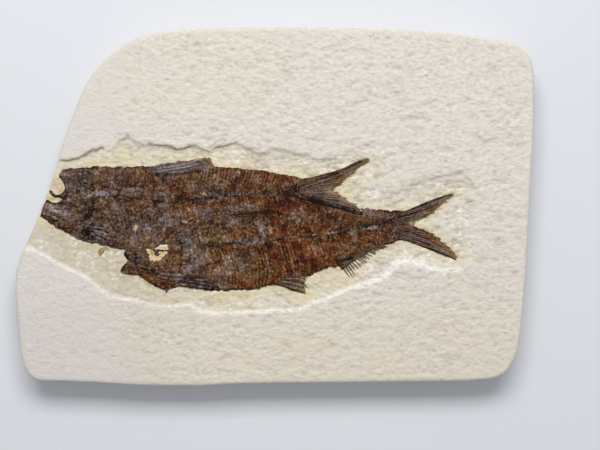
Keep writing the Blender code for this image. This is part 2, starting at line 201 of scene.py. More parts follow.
# The room, in metres, and its light and camera
FLOOR_SIZE = 4
SKY_STRENGTH = 0.42
LAMP_ELEVATION = math.radians(57)
LAMP_DISTANCE = 0.64
LAMP_SIZE = (0.47, 0.24)
LAMP_POWER = 3.27
CAMERA_PLACE = (0.0075, -0.00555, 0.412)
CAMERA_LENS = 80
CAMERA_SENSOR = 36

# The sawn outline of the slab, clockwise from its left shoulder
SLAB_OUTLINE = [
    (-63.3, 20.2), (-60.4, 27.8), (-57.1, 36.1), (-51.9, 43.0), (-44.1, 49.2), (-34.5, 52.4), (-15.6, 53.7),
    (7.5, 53.9), (28.5, 53.4), (49.5, 52.5), (60.9, 51.0), (70.2, 49.4), (74.1, 47.4), (76.8, 44.5),
    (77.7, 39.1), (77.8, 31.9), (77.7, 22.9), (77.1, 12.4), (76.5, 1.9), (75.9, -10.0), (75.3, -20.6),
    (74.4, -30.4), (73.5, -39.4), (72.6, -43.9), (71.2, -47.2), (69.3, -49.8), (66.3, -51.4), (60.9, -52.1),
    (52.5, -52.5), (22.5, -52.8), (-10.5, -53.2), (-21.3, -53.8), (-39.6, -53.7), (-52.5, -52.9),
    (-63.0, -52.5), (-70.2, -52.3), (-72.8, -51.4), (-74.7, -49.4), (-76.0, -46.0), (-77.1, -37.4),
    (-77.8, -29.2), (-78.0, -23.6), (-76.9, -16.6), (-72.9, -7.0), (-69.3, 1.9), (-66.3, 10.3),
]

# The basin scraped down round the fishes: its upper ledge from left to right, then its lower ledge back again
UPPER_LEDGE = [
    (-70.5, 13.0), (-64.2, 13.7), (-60.0, 14.2), (-56.1, 16.3), (-52.2, 17.6), (-49.5, 17.2), (-47.1, 19.3),
    (-44.1, 21.4), (-43.5, 20.2), (-41.4, 18.8), (-36.6, 18.6), (-28.8, 17.2), (-23.7, 18.1), (-19.8, 16.2),
    (-18.3, 17.7), (-12.0, 19.1), (-7.5, 17.8), (0.0, 15.4), (4.8, 16.6), (9.3, 14.8), (18.0, 14.2),
    (21.0, 16.9), (25.5, 18.4), (32.1, 20.2), (33.9, 17.8), (34.5, 12.4), (32.7, 7.9), (36.0, 5.8),
    (45.0, 7.6), (51.6, 9.4), (56.1, 10.7), (57.6, 9.2), (59.4, 5.5), (60.0, 0.4), (59.7, -8.5),
]
LOWER_LEDGE = [
    (59.8, -16.6), (56.4, -18.4), (51.0, -19.3), (45.0, -17.6), (40.5, -16.6), (36.9, -17.2), (33.0, -20.6),
    (27.9, -23.2), (23.1, -24.4), (18.0, -26.6), (12.3, -28.9), (7.5, -30.9), (-3.9, -31.6), (-10.5, -31.8),
    (-18.0, -32.1), (-22.5, -31.3), (-25.5, -29.7), (-34.5, -30.1), (-41.4, -28.3), (-48.9, -27.1),
    (-52.5, -24.8), (-57.0, -21.1), (-65.4, -17.2), (-68.4, -15.1), (-74.1, -12.8), (-81.0, -11.8),
]

# Half width of the freshly broken white stone along the lower ledge, by X
BROKEN_WIDTHS = [
    (-75, 0.7), (-27, 0.75), (-22, 0.9), (6, 0.95), (9, 1.05), (30, 1.2), (34, 1.8), (50, 1.6), (55, 0.9),
    (60, 0.3),
]

# Cracks and soft furrows along the upper ledge, each with a half width, a depth and its line
CRACKS = [
    (0.42, 0.3, [(-64.2, 13.7), (-61.1, 13.9), (-58.9, 14.5), (-56.4, 15.9), (-54.4, 16.7), (-51.8, 17.6)]),
    (0.4, 0.16, [(-47.1, 19.1), (-45.8, 20.0), (-44.4, 20.5)]),
    (0.42, 0.16, [(-46.8, 21.6), (-45.0, 21.5), (-43.5, 20.5), (-41.6, 19.2), (-39.6, 18.6)]),
    (0.44, 0.3, [(-37.8, 18.6), (-35.2, 18.3), (-32.6, 18.0), (-30.8, 17.5), (-29.2, 16.9), (-27.0, 17.4)]),
    (0.4, 0.28, [(-26.8, 17.5), (-25.1, 18.1), (-23.4, 18.0), (-21.8, 17.1), (-19.9, 16.2)]),
    (0.4, 0.14, [(-19.8, 17.6), (-18.0, 18.9), (-16.2, 20.0), (-14.9, 19.4)]),
    (0.4, 0.28, [(-17.8, 17.6), (-15.1, 18.0), (-13.1, 18.6), (-11.6, 19.1)]),
    (0.7, 0.16, [(-11.0, 18.6), (-8.6, 17.6), (-6.6, 16.2), (-4.4, 15.6), (-2.0, 16.2)]),
    (0.75, 0.18, [(-1.5, 17.2), (3.0, 16.6), (6.5, 15.6), (10.5, 15.1)]),
    (0.6, 0.2, [(11.5, 14.1), (14.6, 13.8), (18.0, 14.2)]),
    (0.7, 0.14, [(46.5, 7.9), (52.5, 9.4), (56.1, 10.3)]),
    (0.6, 0.1, [(38.5, 5.9), (41.0, 6.0), (43.4, 6.8)]),
    (0.6, 0.1, [(57.2, 9.0), (58.6, 7.4), (59.8, 5.6)]),
    (0.6, 0.08, [(36.9, 26.8), (41.1, 26.6)]),
    (0.6, 0.08, [(60.9, 21.1), (63.6, 19.3), (67.5, 20.8)]),
    (0.5, 0.08, [(45.6, 30.8), (48.6, 31.9)]),
]

# Stains and specks on the bare stone, and some painted shade, each with a half width, a strength and its line
STONE_MARKS = {
    "rust": [
        (0.3, 0.8, [(-30.4, 15.0), (-30.3, 14.7)]),
        (0.25, 0.6, [(-36.7, 22.9), (-36.6, 22.7)]),
        (0.35, 0.5, [(53.0, -34.4), (53.8, -34.0), (54.8, -34.4)]),
        (0.3, 0.45, [(52.9, -35.2), (53.6, -35.8)]),
        (0.35, 0.4, [(61.0, -39.2), (61.3, -39.4)]),
        (0.6, 0.3, [(-67.6, -9.2), (-66.9, -9.6)]),
        (0.7, 0.35, [(-68.4, 2.6), (-65.6, 2.2)]),
        (0.45, 0.4, [(-48.6, -13.2), (-47.6, -13.7)]),
        (0.5, 0.5, [(-37.9, -14.4), (-37.4, -15.4)]),
        (0.4, 0.6, [(-34.9, -15.6), (-34.0, -15.2)]),
        (0.35, 0.75, [(-36.9, -13.3), (-36.7, -14.7)]),
        (0.3, 0.6, [(-34.6, -13.8), (-33.0, -13.9)]),
        (0.25, 0.5, [(-37.9, -15.3), (-37.0, -16.2)]),
        (0.45, 0.45, [(-64.4, 7.6), (-63.9, 5.6), (-64.9, 4.2)]),
    ],
    # Dark marks, some of them painted shade round the upper fish's eye and jaw window and in the orbit
    "smudge_and_shade": [
        (0.7, 0.8, [(-51.0, -12.5), (-50.0, -12.8)]),
        (0.3, 0.8, [(28.2, 51.1), (29.0, 51.4)]),
        (0.22, 0.6, [(28.9, 50.6), (29.7, 51.9)]),
        (0.5, 0.45, [(-68.9, 0.4), (-67.8, 2.0)]),
        (1.7, 0.3, [(-66.2, 6.6), (-64.8, 5.0)]),
        (0.7, 0.3, [(-66.8, 2.3), (-65.0, 2.2)]),
        (0.3, 0.75, [(-66.7, 8.1), (-65.3, 8.1)]),
        (0.4, 0.4, [(-37.2, -13.2), (-36.9, -14.6)]),
    ],
    "peach": [
        (2.2, 0.4, [(17.4, -21.5), (20.6, -24.0)]),
        (1.8, 0.75, [(-66.4, 7.0), (-64.9, 5.2)]),
        (1.6, 0.35, [(-9.0, 14.0), (-3.0, 13.4)]),
    ],
    "golden": [
        (1.8, 0.86, [(-38.0, -13.8), (-35.6, -15.4), (-33.6, -14.4)]),
        (0.5, 1.0, [(-37.2, -13.2), (-36.8, -14.8)]),
        (0.6, 0.95, [(-33.8, -14.4), (-32.6, -13.8)]),
        (0.4, 0.9, [(-36.4, -16.2), (-35.0, -16.4)]),
        (1.2, 0.22, [(-35.8, -12.6), (-32.6, -12.2)]),
        (1.1, 0.9, [(-67.6, 2.4), (-66.2, 1.9), (-64.2, 2.0)]),
    ],
}

# A loose bit of bone on the stone under the upper fish's throat
BONE_BIT = [
    (-52.7, -14.8), (-53.2, -13.7), (-52.7, -12.8), (-51.8, -12.2), (-51.1, -12.4), (-51.2, -13.3),
    (-51.8, -14.2),
]

# The line where the upper fish lies over the lower one, from the upper fish's tail to its throat
OVERLAP_LINE = [
    (26.4, -3.05), (24.0, -2.9), (21.0, -2.2), (18.0, -1.3), (15.0, -0.8), (12.0, 0.1), (9.0, 1.1),
    (6.0, 1.1), (1.5, -0.4), (-3.9, -1.9), (-10.5, -2.5), (-18.0, -3.1), (-24.0, -4.6), (-29.1, -6.8),
    (-31.5, -9.2), (-34.5, -10.9), (-37.5, -11.5), (-40.5, -12.2), (-44.1, -12.8),
]

# The upper fish, clockwise from the top of its head
UPPER_BACK = [(-63.9, 11.1), (-61.5, 11.4), (-57.0, 11.7), (-53.4, 12.0), (-46.5, 11.9), (-39.0, 12.2)]
UPPER_DORSAL_FIN = [
    (-36.0, 12.4), (-33.6, 12.9), (-31.5, 13.3), (-25.5, 13.9), (-22.5, 14.3), (-19.8, 14.8), (-19.1, 14.2),
    (-18.9, 13.0),
]
UPPER_BACK_REAR = [
    (-18.3, 12.0), (-15.0, 11.8), (-10.5, 11.5), (-3.9, 10.8), (0.0, 10.0), (4.5, 9.4), (8.4, 8.5),
]
UPPER_TAIL_TOP = [
    (10.5, 8.7), (15.0, 9.9), (18.0, 10.7), (21.0, 11.8), (24.0, 13.3), (27.0, 14.4), (28.9, 14.7),
]
UPPER_FORK_HIGH = [
    (28.0, 14.0), (27.0, 13.2), (26.0, 12.5), (24.5, 11.2), (22.3, 9.4), (20.1, 7.6), (18.4, 6.3),
    (16.8, 5.0),
]
UPPER_FORK_LOW = [(17.3, 4.5), (18.5, 4.0), (20.2, 2.8), (22.0, 1.5), (23.9, 0.3), (25.4, -1.0), (26.6, -2.8)]
UPPER_BELLY = [
    (-46.5, -12.8), (-48.9, -12.3), (-52.5, -11.4), (-56.1, -10.7), (-59.1, -9.9), (-62.4, -8.1),
    (-64.5, -7.0), (-66.9, -5.5), (-69.0, -3.9),
]
UPPER_JAW = [
    (-70.6, -3.0), (-69.9, -0.1), (-68.7, 2.1), (-68.1, 1.9), (-66.9, 1.2), (-65.6, 1.2), (-64.6, 1.6),
    (-64.0, 2.3),
]
UPPER_EYE_RIM = [
    (-65.1, 2.8), (-66.0, 2.7), (-67.0, 3.2), (-67.7, 4.0), (-67.9, 4.6), (-67.6, 5.0), (-67.0, 4.7),
    (-66.6, 4.0), (-65.8, 3.5), (-64.8, 3.6), (-63.8, 4.3), (-63.2, 5.2), (-63.2, 6.1), (-63.7, 7.3),
    (-64.5, 8.4), (-65.0, 8.9), (-64.8, 9.8),
]
UPPER_SPINE = [
    (-53.4, 2.5), (-45.0, 2.5), (-37.5, 2.9), (-30.0, 2.7), (-22.5, 2.5), (-13.5, 3.4), (-6.0, 3.9),
    (0.0, 4.0), (4.5, 4.8), (8.7, 5.4),
]
UPPER_HEAD_END = -52.5
UPPER_TAIL_ROOT = 9.6
UPPER_TAIL_REGION = [(UPPER_TAIL_ROOT, 12), (32, 18), (32, -5), (UPPER_TAIL_ROOT, -1)]
UPPER_TAIL_HUB = (-3.0, 4.3)
UPPER_DORSAL_REGION = [(-38.5, 10.6), (-38.5, 15), (-18.5, 15.5), (-18.5, 11.6), (-26, 10.6)]
UPPER_DORSAL_HUB = (-66.0, 7.0)

# The lower fish, from its mouth along its belly to the tail and back along its back
LOWER_FACE = [
    (-45.1, -13.4), (-45.5, -14.4), (-44.7, -15.6), (-44.2, -16.2), (-44.7, -16.9), (-45.9, -18.1),
    (-46.5, -19.2), (-46.2, -19.8), (-45.3, -20.2), (-43.5, -20.5), (-41.1, -20.6),
]
LOWER_BELLY = [
    (-40.2, -21.3), (-37.5, -23.2), (-34.5, -24.8), (-33.0, -25.1), (-32.6, -25.9), (-32.1, -25.2),
    (-30.9, -24.7), (-29.1, -24.2), (-26.7, -24.1), (-23.1, -24.8), (-18.9, -25.3), (-12.0, -25.1),
    (-7.5, -25.1), (-4.5, -24.4), (-0.6, -23.4),
]
LOWER_PELVIC_EDGE = [(0.9, -23.7), (3.0, -24.3), (5.1, -25.2), (7.5, -25.8), (9.3, -26.1)]
LOWER_PELVIC_TIPS = [(8.8, -25.4), (8.5, -24.4), (8.4, -23.4), (8.6, -22.4), (8.9, -21.4)]
LOWER_BELLY_REAR = [(9.6, -21.0), (11.1, -20.6), (15.3, -18.6), (18.9, -18.0), (20.2, -18.8)]
ANAL_FIN_RAYS = [
    ((20.6, -18.7), (22.8, -21.7)), ((22.0, -17.6), (24.1, -20.8)), ((23.2, -16.8), (25.6, -19.1)),
    ((24.8, -15.7), (26.9, -17.2)), ((26.6, -14.7), (28.6, -15.8)), ((28.2, -13.6), (30.4, -14.2)),
    ((30.2, -12.7), (32.3, -13.0)), ((33.2, -11.6), (35.3, -11.9)),
]
ANAL_FIN_BASE = [(19.5, -16.4), (21.8, -15.7), (23.4, -14.6), (25.5, -13.8), (28.2, -12.7), (31.5, -11.4)]
LOWER_TAIL_BOTTOM = [(35.0, -11.2), (37.5, -10.1), (41.1, -10.9), (46.5, -13.0), (52.5, -15.3), (54.6, -16.1)]
LOWER_FORK_LOW = [
    (53.8, -14.9), (52.3, -13.0), (50.8, -11.5), (49.2, -10.1), (47.2, -8.5), (45.0, -7.2), (42.0, -6.2),
    (40.6, -5.5),
]
LOWER_FORK_HIGH = [
    (40.9, -4.8), (42.6, -4.1), (45.0, -3.1), (47.2, -1.6), (49.3, 0.2), (51.1, 1.9), (52.6, 3.2),
]
LOWER_TAIL_TOP = [(53.7, 4.0), (51.9, 3.6), (49.5, 2.9), (45.0, 1.2), (39.9, -1.0), (38.4, -1.4)]
LOWER_BACK_REAR = [(36.0, -1.3), (33.0, -1.1), (30.0, -0.8), (27.5, -0.6), (25.9, -0.7), (25.7, -3.4)]
LOWER_ORBIT = [
    [
        (-36.3, -12.7), (-35.4, -12.2), (-34.2, -11.5), (-32.7, -11.5), (-31.8, -12.4), (-32.0, -13.0),
        (-34.5, -12.9), (-35.8, -12.9),
    ],
    [
        (-38.8, -12.7), (-37.2, -13.0), (-36.3, -13.5), (-36.1, -14.5), (-35.5, -14.8), (-34.9, -14.6),
        (-34.4, -14.3), (-34.9, -14.0), (-34.9, -13.5), (-32.3, -13.5), (-32.2, -14.0), (-33.1, -14.4),
        (-33.1, -14.9), (-33.8, -15.2), (-34.1, -15.9), (-34.8, -16.3), (-35.7, -16.3), (-36.0, -16.8),
        (-36.9, -16.0), (-37.3, -16.4), (-37.8, -15.5), (-38.0, -15.0), (-37.7, -14.4), (-38.3, -13.8),
    ],
]
LOWER_SPINE = [
    (-21.6, -10.9), (-15.0, -10.9), (-3.0, -10.0), (7.5, -9.2), (18.0, -8.2), (24.0, -6.9), (30.0, -5.8),
    (34.5, -4.2), (38.1, -2.5),
]
LOWER_HEAD_END = -23.0
LOWER_TAIL_ROOT = 37.4
LOWER_TAIL_REGION = [(LOWER_TAIL_ROOT, 0), (56, 6), (56, -18), (LOWER_TAIL_ROOT, -11)]
LOWER_TAIL_HUB = (25.6, -5.9)
LOWER_PELVIC_REGION = [(2.0, -21.6), (0.5, -23.8), (9.5, -27), (11, -20.8), (6, -20.9)]
LOWER_PELVIC_HUB = (-2.5, -21.6)
LOWER_ANAL_HUB = (12.0, -3.0)

# How rusty, grey and olive each fish is along its length, by X
UPPER_HUES = [
    (-70, 0.15, 0.6, 0.15), (-56, 0.2, 0.6, 0.15), (-49, 0.35, 0.42, 0.15), (-38, 0.4, 0.32, 0.2),
    (-20, 0.5, 0.25, 0.2), (-9, 0.85, 0.05, 0.15), (7, 0.95, 0.03, 0.1), (12, 0.2, 0.22, 0.2),
    (29, 0.15, 0.18, 0.25),
]
LOWER_HUES = [
    (-46, 0.2, 0.15, 0.35), (-31, 0.32, 0.2, 0.28), (-28, 0.25, 0.32, 0.2), (-21, 0.35, 0.3, 0.25),
    (-11, 0.4, 0.25, 0.35), (-8, 0.5, 0.15, 0.5), (0, 0.9, 0.03, 0.2), (16, 0.95, 0.02, 0.2),
    (22, 0.62, 0.08, 0.35), (32, 0.25, 0.35, 0.3), (38, 0.12, 0.42, 0.2), (54, 0.1, 0.35, 0.25),
]

# Marks on the bone, some of them painted highlights, read off the fossil: each has a half width, a strength
# and its line
UPPER_MARKS = {
    "dark_bone": [
        (0.48, 0.8, [(-63.9, 10.8), (-61.5, 11.2), (-57.0, 11.5), (-53.4, 11.7)]),
        (0.42, 0.8, [(-37.5, 9.8), (-31.5, 9.6), (-27.0, 9.9), (-22.5, 10.8)]),
        (0.78, 1.0, [(-35.7, 9.8), (-34.2, 9.2), (-33.3, 7.9)]),
        (0.66, 0.9, [(-32.1, 9.8), (-33.0, 7.9)]),
        (0.36, 0.7, [(-36.9, 9.4), (-36.3, 7.6)]),
        (0.36, 0.8, [(-52.8, 2.9), (-48.9, 3.0), (-45.9, 3.3)]),
        (0.54, 1.0, [(-44.1, 2.7), (-40.5, 2.5)]),
        (0.30, 0.6, [(-40.5, 3.3), (-34.5, 3.0), (-29.7, 3.3)]),
        (0.48, 0.9, [(-36.3, 1.6), (-35.1, 1.3), (-33.6, 1.3)]),
        (0.30, 0.7, [(-29.1, 2.1), (-25.5, 2.4), (-22.5, 2.5)]),
        (0.48, 0.9, [(-21.9, 2.5), (-18.6, 2.7)]),
        (0.48, 0.9, [(-17.7, 2.9), (-15.9, 3.5), (-14.1, 3.3)]),
        (0.30, 0.7, [(-14.1, 3.1), (-10.5, 3.0), (-6.9, 3.8)]),
        (0.45, 0.9, [(-6.6, 3.8), (-3.9, 3.9)]),
        (0.60, 1.0, [(-3.9, 4.2), (-1.5, 4.5)]),
        (0.42, 0.9, [(-1.5, 4.0), (2.7, 4.3)]),
        (0.48, 0.8, [(0.9, 5.8), (3.9, 5.5), (6.3, 6.5)]),
        (0.48, 0.9, [(-54.4, 1.1), (-54.4, -0.8), (-55.2, -2.5), (-56.4, -3.8), (-57.9, -4.3)]),
        (0.30, 0.7, [(-55.5, -0.4), (-55.9, -1.9), (-57.0, -3.1)]),
        (0.78, 0.8, [(-57.0, -6.1), (-56.1, -7.6), (-55.2, -8.8)]),
        (0.48, 0.8, [(-57.3, -6.8), (-54.9, -9.4), (-51.3, -10.9), (-47.1, -12.2)]),
        (0.36, 0.8, [(-56.1, -6.1), (-53.1, -8.8), (-48.9, -10.7), (-45.3, -11.8)]),
        (0.36, 0.7, [(-55.5, -5.5), (-51.3, -7.3), (-47.7, -9.2)]),
        (0.30, 0.6, [(-54.3, -5.2), (-50.1, -6.5), (-46.5, -7.6)]),
        (0.48, 0.9, [(-62.7, 5.0), (-62.4, 3.8), (-62.7, 2.5), (-63.9, 1.8)]),
        (0.45, 0.85, [(-67.4, 4.8), (-67.2, 3.7), (-66.0, 3.0), (-64.6, 3.2)]),
        (0.39, 0.8, [(-69.0, 1.8), (-66.9, 0.9), (-65.1, 0.7), (-63.3, 1.3)]),
        (0.48, 0.35, [(-70.2, -1.9), (-66.9, -4.6), (-62.7, -6.8), (-58.5, -8.8), (-52.5, -10.9)]),
        (0.30, 0.6, [(-68.4, 0.1), (-65.1, -0.8), (-60.9, -0.8)]),
        (0.30, 0.6, [(-67.5, -1.9), (-63.9, -3.8), (-59.1, -4.6)]),
        (0.30, 0.8, [(-59.5, 5.5), (-59.6, 2.5), (-59.8, 0.1)]),
        (0.30, 0.6, [(-58.8, 6.8), (-56.1, 7.0), (-53.4, 6.1)]),
        (0.30, 0.5, [(-58.5, 1.9), (-56.1, 2.2), (-54.3, 1.6)]),
        (0.28, 0.5, [(2.1, 4.3), (7.5, 6.0), (14.1, 8.4), (21.0, 11.2), (26.7, 13.8)]),
        (0.60, 0.9, [(3.0, 4.3), (7.5, 2.4), (13.5, 0.3), (19.5, -1.4), (24.0, -2.5), (26.4, -2.9)]),
        (1.30, 1.0, [(10.0, 1.9), (19.0, -0.8), (26.2, -2.6)]),
        (0.34, 0.7, [(12.5, 2.3), (18.0, 0.8), (24.0, -0.8)]),
        (0.24, 0.5, [(7.5, 3.8), (16.5, 1.9), (21.0, 1.1), (24.9, -0.6)]),
        (0.22, 0.4, [(7.5, 5.0), (12.9, 6.8), (18.0, 8.4), (22.5, 10.7)]),
        (0.50, 0.6, [(12.0, 1.2), (16.5, 0.4), (21.0, -0.8), (25.5, -1.6)]),
        (0.80, 1.0, [(-56.1, -8.2), (-54.9, -9.0)]),
        (0.20, 0.5, [(-36.0, 10.9), (-29.0, 11.9), (-22.5, 13.4)]),
        (0.20, 0.6, [(-33.0, 10.6), (-27.0, 11.4), (-21.5, 12.6)]),
        (0.20, 0.4, [(-34.5, 11.9), (-29.0, 12.8), (-24.5, 13.7)]),
    ],
    "grey_bone": [
        (1.50, 0.9, [(-38.1, 11.2), (-33.0, 11.4), (-27.0, 11.8), (-22.6, 12.8)]),
        (0.80, 0.8, [(-69.9, 1.2), (-70.4, -2.6)]),
        (1.60, 0.8, [(-63.0, 9.4), (-60.8, 8.4)]),
        (1.50, 0.7, [(-48.3, 7.6), (-46.2, 7.0)]),
        (1.20, 0.5, [(-60.2, -7.9), (-57.8, -8.9)]),
        (1.35, 0.9, [(-52.8, 4.0), (-51.0, 4.0)]),
        (1.50, 0.7, [(-46.2, 4.6), (-41.1, 5.0)]),
        (1.50, 0.45, [(-51.3, 7.9), (-46.5, 8.2)]),
        (1.35, 0.6, [(-64.5, 9.2), (-60.6, 8.5)]),
        (1.80, 0.55, [(-58.5, 5.0), (-54.9, 3.1)]),
        (2.10, 0.5, [(-50.1, -4.3), (-45.9, -3.8), (-42.9, -4.6)]),
        (0.96, 0.9, [(-42.6, -9.2), (-40.5, -9.0)]),
        (1.50, 0.8, [(-34.5, -5.8), (-30.9, -5.0), (-27.9, -4.3)]),
        (1.35, 0.6, [(-39.9, -5.8), (-38.4, -7.3)]),
        (1.20, 0.75, [(-14.7, -0.8), (-9.9, -0.3), (-5.7, 0.1)]),
        (2.70, 0.48, [(6.3, 5.0), (12.0, 5.5), (16.5, 7.9)]),
        (2.10, 0.35, [(7.5, 3.1), (15.0, 2.2), (21.0, 0.1)]),
        (1.65, 0.4, [(16.5, 8.8), (23.1, 11.8)]),
        (1.80, 0.55, [(-68.1, -0.1), (-64.5, -1.6), (-60.9, -2.9)]),
        (1.20, 0.5, [(-36.9, -0.4), (-32.1, 0.1)]),
        (1.50, 0.4, [(-9.6, 8.8), (-3.9, 7.9)]),
    ],
    "rust": [
        (1.50, 0.8, [(-15.0, 1.3), (-7.5, 1.1), (0.9, 2.2), (7.5, 3.8)]),
        (1.95, 0.8, [(-7.5, 9.2), (-0.9, 8.5), (6.3, 7.9)]),
        (1.20, 1.0, [(-6.3, 1.1), (-3.6, 0.8)]),
        (1.65, 0.55, [(-34.5, 6.8), (-29.7, 5.5)]),
        (1.35, 0.7, [(-52.5, -4.6), (-45.0, -4.0)]),
        (1.20, 0.7, [(-56.7, -5.2), (-53.1, -5.8)]),
        (0.90, 0.8, [(-26.1, -3.8), (-23.7, -4.0)]),
        (1.50, 0.55, [(-12.0, 5.5), (-3.9, 5.8)]),
        (1.50, 0.45, [(-48.9, 1.9), (-40.5, 1.1)]),
        (1.50, 0.4, [(-44.1, -10.0), (-37.5, -9.4)]),
        (0.60, 1.0, [(-66.6, -5.4), (-64.5, -6.8), (-62.4, -7.9)]),
        (1.10, 0.9, [(-49.9, 9.6), (-48.2, 9.0)]),
        (0.90, 0.8, [(-20.4, 13.4), (-19.4, 12.6)]),
    ],
    "olive": [
        (0.72, 1.0, [(-48.3, 2.4), (-44.1, 2.5)]),
        (1.50, 0.6, [(-34.5, -0.4), (-29.1, -0.1)]),
        (1.50, 0.5, [(-37.5, 5.0), (-29.1, 1.6)]),
        (0.48, 0.9, [(-60.0, 6.8), (-60.1, 2.5), (-60.0, -2.2)]),
        (0.60, 0.5, [(-64.5, 9.2), (-62.7, 6.1)]),
    ],
    "pale_fleck": [
        (0.66, 1.0, [(-42.1, -6.9), (-41.7, -6.0)]),
        (0.39, 0.7, [(-27.3, -4.6), (-26.6, -4.8)]),
        (0.33, 0.6, [(-25.8, -3.8), (-25.1, -3.6)]),
        (0.36, 0.6, [(-21.6, 3.8), (-20.8, 3.7)]),
        (0.30, 0.5, [(-26.1, -0.4), (-25.6, -1.3)]),
        (0.39, 0.55, [(-66.9, -0.1), (-65.7, -1.3)]),
        (0.36, 0.5, [(-68.7, 0.1), (-67.8, -0.4)]),
        (0.36, 0.5, [(-66.6, -3.1), (-65.1, -4.0)]),
    ],
    "gold": [
        (0.60, 0.9, [(-66.6, -5.2), (-64.3, -7.0), (-62.0, -8.3)]),
        (0.30, 0.45, [(-60.0, 4.8), (-60.4, 2.6), (-59.9, 0.8), (-60.4, -1.8)]),
        (0.70, 0.9, [(-58.8, -2.1), (-58.1, -2.4)]),
        (0.36, 0.9, [(-48.7, 1.3), (-46.8, 0.9)]),
        (1.10, 0.3, [(-60.2, -7.9), (-57.8, -8.9)]),
        (0.60, 0.5, [(-5.4, 1.4), (-3.6, 0.9)]),
        (0.70, 0.45, [(-24.6, -3.6), (-22.6, -4.2)]),
        (0.60, 0.5, [(-42.0, 10.4), (-40.6, 9.8)]),
        (0.50, 0.35, [(-15.0, 5.6), (-12.4, 5.0)]),
    ],
    # Pale bluish strokes on the bone, mostly painted highlights
    "pale_bone_and_highlight": [
        (1.20, 0.7, [(-52.9, 4.2), (-50.9, 3.6)]),
        (1.20, 0.3, [(-63.0, 9.4), (-60.8, 8.4)]),
        (1.40, 0.3, [(-57.4, 4.6), (-55.6, 2.4)]),
        (1.50, 0.35, [(-66.8, -1.2), (-63.0, -2.6)]),
        (0.24, 0.8, [(-56.8, -5.9), (-53.0, -6.3), (-49.7, -6.5)]),
        (0.20, 0.6, [(-55.6, -6.9), (-51.8, -7.7), (-48.4, -8.7)]),
        (0.20, 0.5, [(-54.6, -8.0), (-50.6, -9.2), (-46.8, -10.2)]),
        (0.30, 0.8, [(-35.4, 11.4), (-31.0, 12.2), (-26.4, 13.2)]),
        (0.34, 0.8, [(-34.2, 10.7), (-29.6, 11.3), (-24.6, 12.4)]),
        (0.26, 0.6, [(-31.0, 12.9), (-26.0, 13.6), (-22.0, 14.1)]),
        (0.80, 0.4, [(-45.6, 4.8), (-42.0, 5.2)]),
        (0.70, 0.4, [(-21.6, 3.9), (-20.4, 4.2)]),
        (0.80, 0.35, [(-17.6, 6.8), (-16.2, 6.2)]),
        (0.60, 0.4, [(-40.0, -7.0), (-37.6, -6.4)]),
        (1.30, 0.5, [(-34.6, 11.2), (-29.0, 12.1), (-24.6, 12.9)]),
        (0.80, 0.6, [(-67.4, -0.6), (-64.4, -2.2)]),
        (0.40, 0.6, [(-66.0, -3.2), (-64.2, -3.9)]),
        (0.20, 0.2, [(8.5, 3.8), (15.0, 2.2), (21.0, 0.6)]),
        (0.24, 0.3, [(8.5, 5.8), (15.5, 7.8), (22.5, 10.9)]),
    ],
    "spine": [
        (0.6, 0.6, [(-53.4, 2.5), (-45.0, 2.5), (-37.5, 2.9), (-30.0, 2.7), (-22.5, 2.5)]),
        (0.6, 1.0, [(-22.5, 2.5), (-13.5, 3.4), (-6.0, 3.9), (0.0, 4.0), (4.5, 4.8)]),
    ],
    "ribs": [
        (2.4, 0.9, [(-22.0, 10.2), (-10.0, 9.4), (-1.0, 8.4)]),
        (2.6, 0.35, [(-50.0, 7.0), (-28.0, 8.0)]),
        (2.4, 0.4, [(-46.0, -4.0), (-26.0, -2.5)]),
        (1.5, 0.5, [(-14.0, 1.5), (2.0, 2.2)]),
    ],
}
